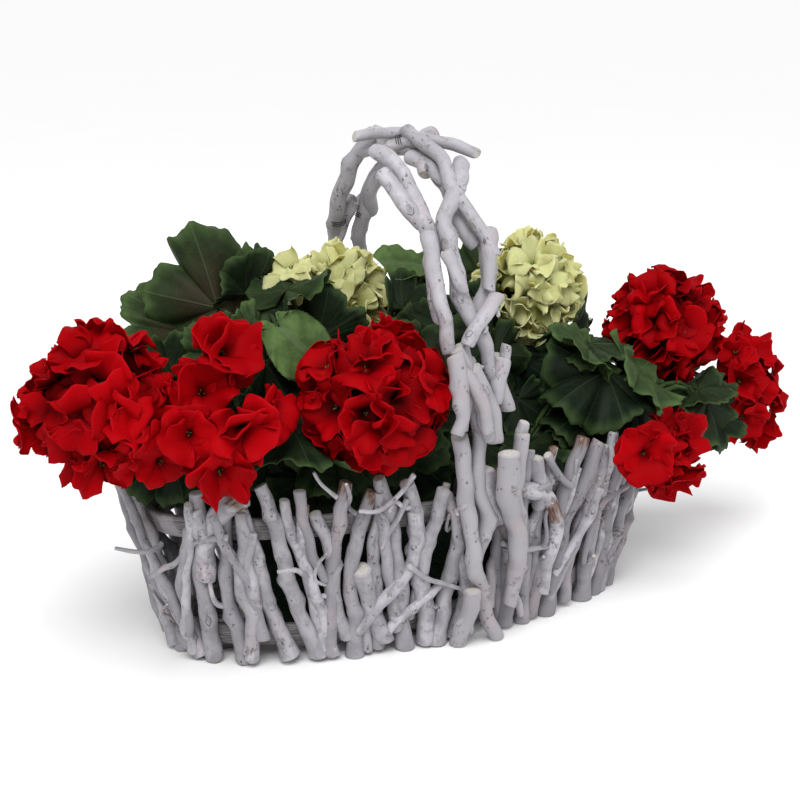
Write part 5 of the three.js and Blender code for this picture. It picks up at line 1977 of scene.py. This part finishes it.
STEMS = (
    LeafyStem("leafy_stem_left", 51, (-92, 4, 0), (-104, 0, 84), (
        Leaf((-138, 34, 196), (-28, 12, 30), (-1, -8, 6), RUSSET),
        Leaf((-127, 8, 216), (-6, 18, 47), (-15, -13, 5), RUSSET, fold=-1.1),
        Leaf((-106, 12, 222), (22, 6, 22), (9, -12, 2), MID),
        Leaf((-110, -6, 200), (4, 4, 20), (1, -9, 4), LIGHT),
        Leaf((-134, -12, 192), (-18, 6, 16), (0, -9, 5), MID),
        Leaf((-160, 4, 178), (-16, 2, 22), (0, -9, 4)),
        Leaf((-160, 44, 162), (-32, 26, -6), (-3, 5, 8), MID),
        Leaf((-206, 38, 148), (-24, 24, -10), (-8, 4, 17), MID, over=(-176, 26, 140)),
        Leaf((-114, 52, 150), (-10, 40, -8), (0, 3, 4)),
        Leaf((-150, -20, 150), (4, -14, -28), (-2, -9, 1)),
        Leaf((-168, -8, 136), (-28, -8, -16), (-2, -8, 5)),
        Leaf((-112, -22, 132), (-14, -12, -20), (-1, -9, 3)),
        Leaf((-128, 0, 118), (-30, -12, -18), (-2, -8, 5)),
        Leaf((-118, -16, 104), (-20, -18, -20), (-2, -8, 5)),
        Leaf((-126, 24, 110), (-24, 10, -24), (-2, -8, 5)),
    ), (
        (((-155, -10, 136), (-185, -18, 150), (-205, -25, 166)), 2.2),
        (((-130, -25, 122), (-150, -47, 144)), 2.0),
    )),
    LeafyStem("leafy_stem_front_left", 52, (-52, -20, 0), (-56, -28, 88), (
        Leaf((-108, -38, 212), (30, -9, -32), (-7, -18, 5), FRESH, ovate=True),
        Leaf((-112, -28, 188), (-18, -2, -24), (-2, -9, 3)),
        Leaf((-34, -52, 140), (26, -11, -20), (-2, -9, 2), MID),
        Leaf((-24, -52, 158), (33, -10, -10), (-5, -18, 4), MID),
        Leaf((-20, -46, 180), (20, -6, 18), (-1, -9, 3), MID),
        Leaf((-104, -52, 148), (-10, -40, -9), (-2, -6, 19), MID),
        Leaf((-110, -18, 142), (-12, -6, 32), (-2, -9, 2)),
        Leaf((-76, -40, 136), (16, -26, -18), (1, -9, 4)),
        Leaf((-36, -34, 132), (20, -16, -16), (1, -9, 3)),
        Leaf((-16, -24, 116), (26, -14, -22), (0, -19, 4)),
        Leaf((-98, -30, 158), (14, -14, -18), (0, -5, 1), MID),
        Leaf((-84, -36, 112), (-20, -12, -22), (-1, -9, 4)),
    ), ((((-58, -48, 124), (-62, -65, 155), (-64, -72, 166)), 2.2),)),
    LeafyStem("leafy_stem_back_left", 53, (-44, 20, 0), (-44, 24, 92), (
        Leaf((-70, -14, 194), (-26, 2, 24), (-2, -9, 4)),
        Leaf((-88, -8, 226), (26, 6, 13), (-30, 2, 95), MID),
        Leaf((22, 14, 227), (-36, 6, 10), (-2, -5, 8), FRESH, ovate=True),
        Leaf((22, 20, 206), (-16, -2, 18), (1, -9, 3), LIGHT),
        Leaf((-88, 72, 206), (4, 16, 32), (-1, -4, 2), MID),
        Leaf((-62, 60, 165), (-6, 40, -7), (0, 3, 4)),
        Leaf((8, -8, 184), (-16, -4, 22), (0, -9, 4), MID),
        Leaf((14, -14, 150), (12, -8, 22), (0, -5, 1)),
        Leaf((-10, 10, 186), (18, 2, 20), (0, -9, 4)),
        Leaf((-6, -6, 206), (26, 4, 6), (0, -1, 1), MID),
        Leaf((20, 14, 168), (18, -2, 22), (0, -9, 4)),
        Leaf((22, 14, 196), (10, -2, 22), (0, -19, 4)),
        Leaf((-4, 20, 150), (20, -4, -22), (0, -3, 1)),
        Leaf((-40, 6, 150), (12, -12, -24), (0, -3, 1)),
    ), ((((-42, 25, 140), (-40, 26, 180), (-38, 27, 198)), 2.2),)),
    LeafyStem("leafy_stem_front_right", 54, (50, -20, 0), (62, -26, 86), (
        Leaf((130, -40, 156), (-42, -12, -6), (-5, -12, 15)),
        Leaf((124, -34, 132), (-34, -12, -8), (-4, -16, 11)),
        Leaf((40, -20, 120), (20, -12, -22), (-2, -9, 3)),
        Leaf((84, -2, 134), (-32, -16, -10), (-4, -16, 11)),
        Leaf((148, -50, 158), (24, -8, -26), (11, -4, 16), LIGHT),
        Leaf((122, -30, 170), (-24, -16, 6), (-1, -6, 8), LIGHT),
        Leaf((142, 8, 170), (-32, -2, 12), (-4, -14, 13), MID),
        Leaf((150, -44, 136), (22, -6, -18), (1, -9, 3)),
        Leaf((112, -42, 124), (20, -14, -12), (0, -9, 4)),
        Leaf((72, -22, 140), (-4, -8, -24), (-2, -19, 4)),
        Leaf((128, -24, 172), (22, -16, 0), (4, -10, 17), MID),
        Leaf((58, -34, 108), (-28, -16, -5), (-2, -5, 19)),
        Leaf((44, -26, 114), (-32, -10, -4), (-2, -4, 19), MID),
        Leaf((72, -38, 112), (-2, -26, -10), (1, -4, 9), MID),
        Leaf((92, -40, 110), (20, -22, -8), (2, -4, 9)),
    ), ((((136, -44, 137), (148, -54, 134), (156, -59, 132)), 2.0),)),
    LeafyStem("leafy_stem_back_right", 55, (44, 20, 0), (54, 24, 92), (
        Leaf((100, 76, 206), (4, 6, 26), (0, -8, 5), MID),
        Leaf((66, 48, 160), (2, 40, -4), (0, 3, 4)),
        Leaf((108, 62, 144), (4, 42, -8), (1, 6, 8)),
        Leaf((140, 56, 160), (18, 38, -10), (2, 5, 8), MID),
        Leaf((66, 6, 178), (-22, -10, 18), (0, -4, 3)),
        Leaf((70, 4, 166), (8, -12, -24), (0, -19, 4)),
        Leaf((92, 14, 160), (18, -12, -16), (0, -9, 4)),
        Leaf((60, 10, 150), (-16, -6, -24), (0, -3, 1)),
        Leaf((74, 20, 190), (-14, 2, 22), (0, -9, 4)),
    ), ((((84, 30, 150), (104, 33, 180), (112, 34, 194)), 2.2),)),
    LeafyStem("leafy_stem_right_end", 56, (92, 2, 0), (108, 4, 84), (
        Leaf((222, -34, 122), (2, -16, -28), (3, -9, 4), over=(184, -38, 137)),
        Leaf((230, -30, 114), (-1, -12, -28), (1, -9, 3), over=(190, -30, 134)),
        Leaf((214, -34, 132), (22, -14, 2), (1, -6, 8), MID, over=(186, -31, 138)),
        Leaf((236, 40, 126), (10, 30, -12), (3, 4, 9), over=(184, 42, 140)),
        Leaf((188, 50, 146), (12, 32, -10), (1, 3, 4), MID, over=(160, 42, 138)),
        Leaf((186, -20, 142), (26, -10, -14), (1, -9, 3)),
        Leaf((160, -22, 138), (-10, -12, -24), (0, -19, 4)),
        Leaf((214, -28, 122), (3, -14, -28), (2, -9, 4)),
        Leaf((128, 0, 112), (26, -8, -20), (1, -9, 4)),
        Leaf((186, 2, 128), (18, -10, -16), (2, -9, 4)),
    ), (
        (((155, 0, 134), (188, -3, 154), (199, -4, 166)), 2.2),
        (((150, 26, 130), (186, 37, 142), (236, 26, 134), (268, 8, 119)), 2.0),
    )),
)


# --- foam and ties
@dataclass
class Foam:
    """The block that the stems stand in, crumbly at its edges."""

    node: str = "foam_block"
    columns: int = 96

    def build(self) -> None:
        """Makes the block."""
        low, high = (np.array(corner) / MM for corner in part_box(self.node))
        middle, half = (low + high) / 2, (high - low) / 2
        rng = np.random.default_rng(88)
        columns = self.columns
        around = TAU * np.arange(columns) / columns
        rows = [(0, -1), (0.6, -1), (0.97, -1), (1, -0.9)]
        rows += [(1, z) for z in np.linspace(-0.7, 0.7, 8)]
        rows += [(0.99, 0.88), (0.95, 0.97), (0.75, 1), (0.4, 1), (0, 1)]
        points = []
        for size, height in rows:
            wide = (1 - np.abs(rng.normal(0, 0.008, columns)) * size) * size
            ring = np.stack([np.cos(around) * wide, np.sin(around) * wide, np.full(columns, height)], 1)
            points.append(middle + ring * half)
        surface = Surface()
        surface.add(np.vstack(points), grid_faces(len(rows), columns, closed=True))
        surface.as_object("foam", FOAM, (self.node,))


@dataclass
class Ties:
    """Thin wire that binds the handle's branches where they cross."""

    lines: list[Points]
    places: tuple[Place, ...] = ((-12, 40, 308), (-8, -4, 315), (-9, 75, 257), (9, 73, 260), (-2, -22, 305))
    wire: float = 0.28
    turns: float = 3.0
    room: float = 0.5
    spacing: float = 1.4

    def build(self) -> None:
        """Makes the ties, each round the branch nearest to its place."""
        rng = np.random.default_rng(61)
        surface = Surface()
        for place in self.places:
            number, line, i = self.nearest(np.array(place, float))
            _, across, beside = frames_along(line)
            radius = HANDLE_BRANCHES[number].radius * HANDLE_BRANCHES[number].taper[0] + self.room
            t = np.linspace(0, TAU * self.turns, 66)
            loop = line[i] + (np.cos(t)[:, None] * across[i] + np.sin(t)[:, None] * beside[i]) * radius
            loop += headings(line)[i] * ((t / TAU - self.turns / 2) * self.spacing)[:, None]
            tail = loop[-1] + unit(loop[-1] - line[i]) * rng.uniform(2, 4) + unit(loop[-1] - loop[-2]) * 2
            tube(surface, np.vstack([loop, tail]), self.wire, 6)
        surface.as_object("binding_wires", WIRE)

    def nearest(self, place: Points) -> tuple[int, Points, int]:
        """Finds the branch nearest to a place.

        Args:
            place: The place.

        Returns:
            The branch's number, its middle line and the nearest point of that line.
        """
        lines = [evenly(line, 60) for line in self.lines]
        apart = [np.linalg.norm(line - place, axis=1) for line in lines]
        number = int(np.argmin([far.min() for far in apart]))
        return number, lines[number], int(apart[number].argmin())


# --- studio
@dataclass(frozen=True)
class Studio:
    """The camera at the photograph's place, the white floor and the soft lights."""

    azimuth: float = -28.73
    elevation: float = 16.17
    distance: float = 1.0643
    aim: Place = (0, 0, 0.12)
    focal_px: float = 1615.7
    picture_px: float = 800
    middle_px: Pair = (406.6, 434.5)
    sensor: float = 36
    floor_half: float = 60.0
    sky: float = 0.46

    def place_camera(self) -> None:
        """Sets the fitted camera, turned so that the picture's middle is its own."""
        a, e = math.radians(self.azimuth), math.radians(self.elevation)
        back = Vector((math.sin(a) * math.cos(e), -math.cos(a) * math.cos(e), math.sin(e)))
        right = Vector((math.cos(a), math.sin(a), 0))
        scale = self.distance / self.focal_px
        off_x, off_y = (p - self.picture_px / 2 for p in self.middle_px)
        target = Vector(self.aim) - right * off_x * scale + back.cross(right) * off_y * scale
        camera = bpy.data.cameras.new("camera")
        camera.sensor_width = self.sensor
        camera.lens = self.focal_px / self.picture_px * self.sensor
        eye = Vector(self.aim) + back * self.distance
        bpy.context.scene.camera = stand("camera", camera, eye, target - eye)

    def lay_floor(self) -> None:
        """Lays the white sheet that the basket stands on."""
        mesh = bpy.data.meshes.new("floor")
        half = self.floor_half
        corners = [(-half, -half, 0), (half, -half, 0), (half, half, 0), (-half, half, 0)]
        mesh.from_pydata(corners, [], [(0, 1, 2, 3)])
        pen = Pen("white_sheet")
        cloud = pen.noise(pen.place(), 4, 2)
        pen.wire(pen.mix(cloud, (0.955, 0.955, 0.96), (0.975, 0.975, 0.975)), "Base Color")
        pen.fix(Roughness=0.9, Specular_IOR_Level=0.1)
        mesh.materials.append(pen.material)
        stand("floor", mesh)

    def add_panel(self, name: str, place: Place, size: float, power: float) -> None:
        """Adds a soft square light that shines on the basket.

        Args:
            name: Its name.
            place: Where it stands.
            size: The length of its sides, in metres.
            power: Its power, in watts.
        """
        light = bpy.data.lights.new(name, "AREA")
        light.size = size
        light.energy = power
        stand(name, light, place, Vector(self.aim) - Vector(place))

    def add_sun(self, place: Place, degrees: float, power: float) -> None:
        """Adds a broad even light, which also whitens the far floor.

        Args:
            place: The side that it comes from.
            degrees: How wide it is.
            power: Its power, in watts per square metre.
        """
        light = bpy.data.lights.new("sky_panel", "SUN")
        light.energy = power
        light.angle = math.radians(degrees)
        stand("sky_panel", light, toward=-Vector(place))

    def build(self) -> None:
        """Sets up the camera, the floor and the lights."""
        self.place_camera()
        self.lay_floor()
        world = bpy.data.worlds.new("white")
        world.use_nodes = True
        background = world.node_tree.nodes["Background"].inputs
        background["Color"].default_value = (1, 1, 1, 1)
        background["Strength"].default_value = self.sky
        bpy.context.scene.world = world
        bpy.context.scene.view_settings.view_transform = "Standard"
        self.add_panel("key", (-0.9, -1.2, 1.5), 0.9, 12)
        self.add_panel("fill", (1.3, -0.9, 0.9), 1.2, 4)
        self.add_panel("back", (0.7, 1.4, 1.1), 1.2, 5)
        self.add_sun((-0.45, -0.75, 1.35), 50, 2.1)


def main() -> None:
    """Builds the arrangement's sub-assemblies in order."""
    logging.basicConfig(level=logging.INFO, format="%(message)s")
    Studio().build()
    wall = Wall()
    wall.build()
    Offshoots(wall).build()
    Strips(wall).build()
    lines = Handle(wall).build()
    Ties(lines).build()
    Foam().build()
    for stem in STEMS:
        stem.build()
    for head in DENSE_HEADS + LOOSE_HEADS:
        head.build()
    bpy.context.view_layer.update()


if __name__ == "__main__":
    main()
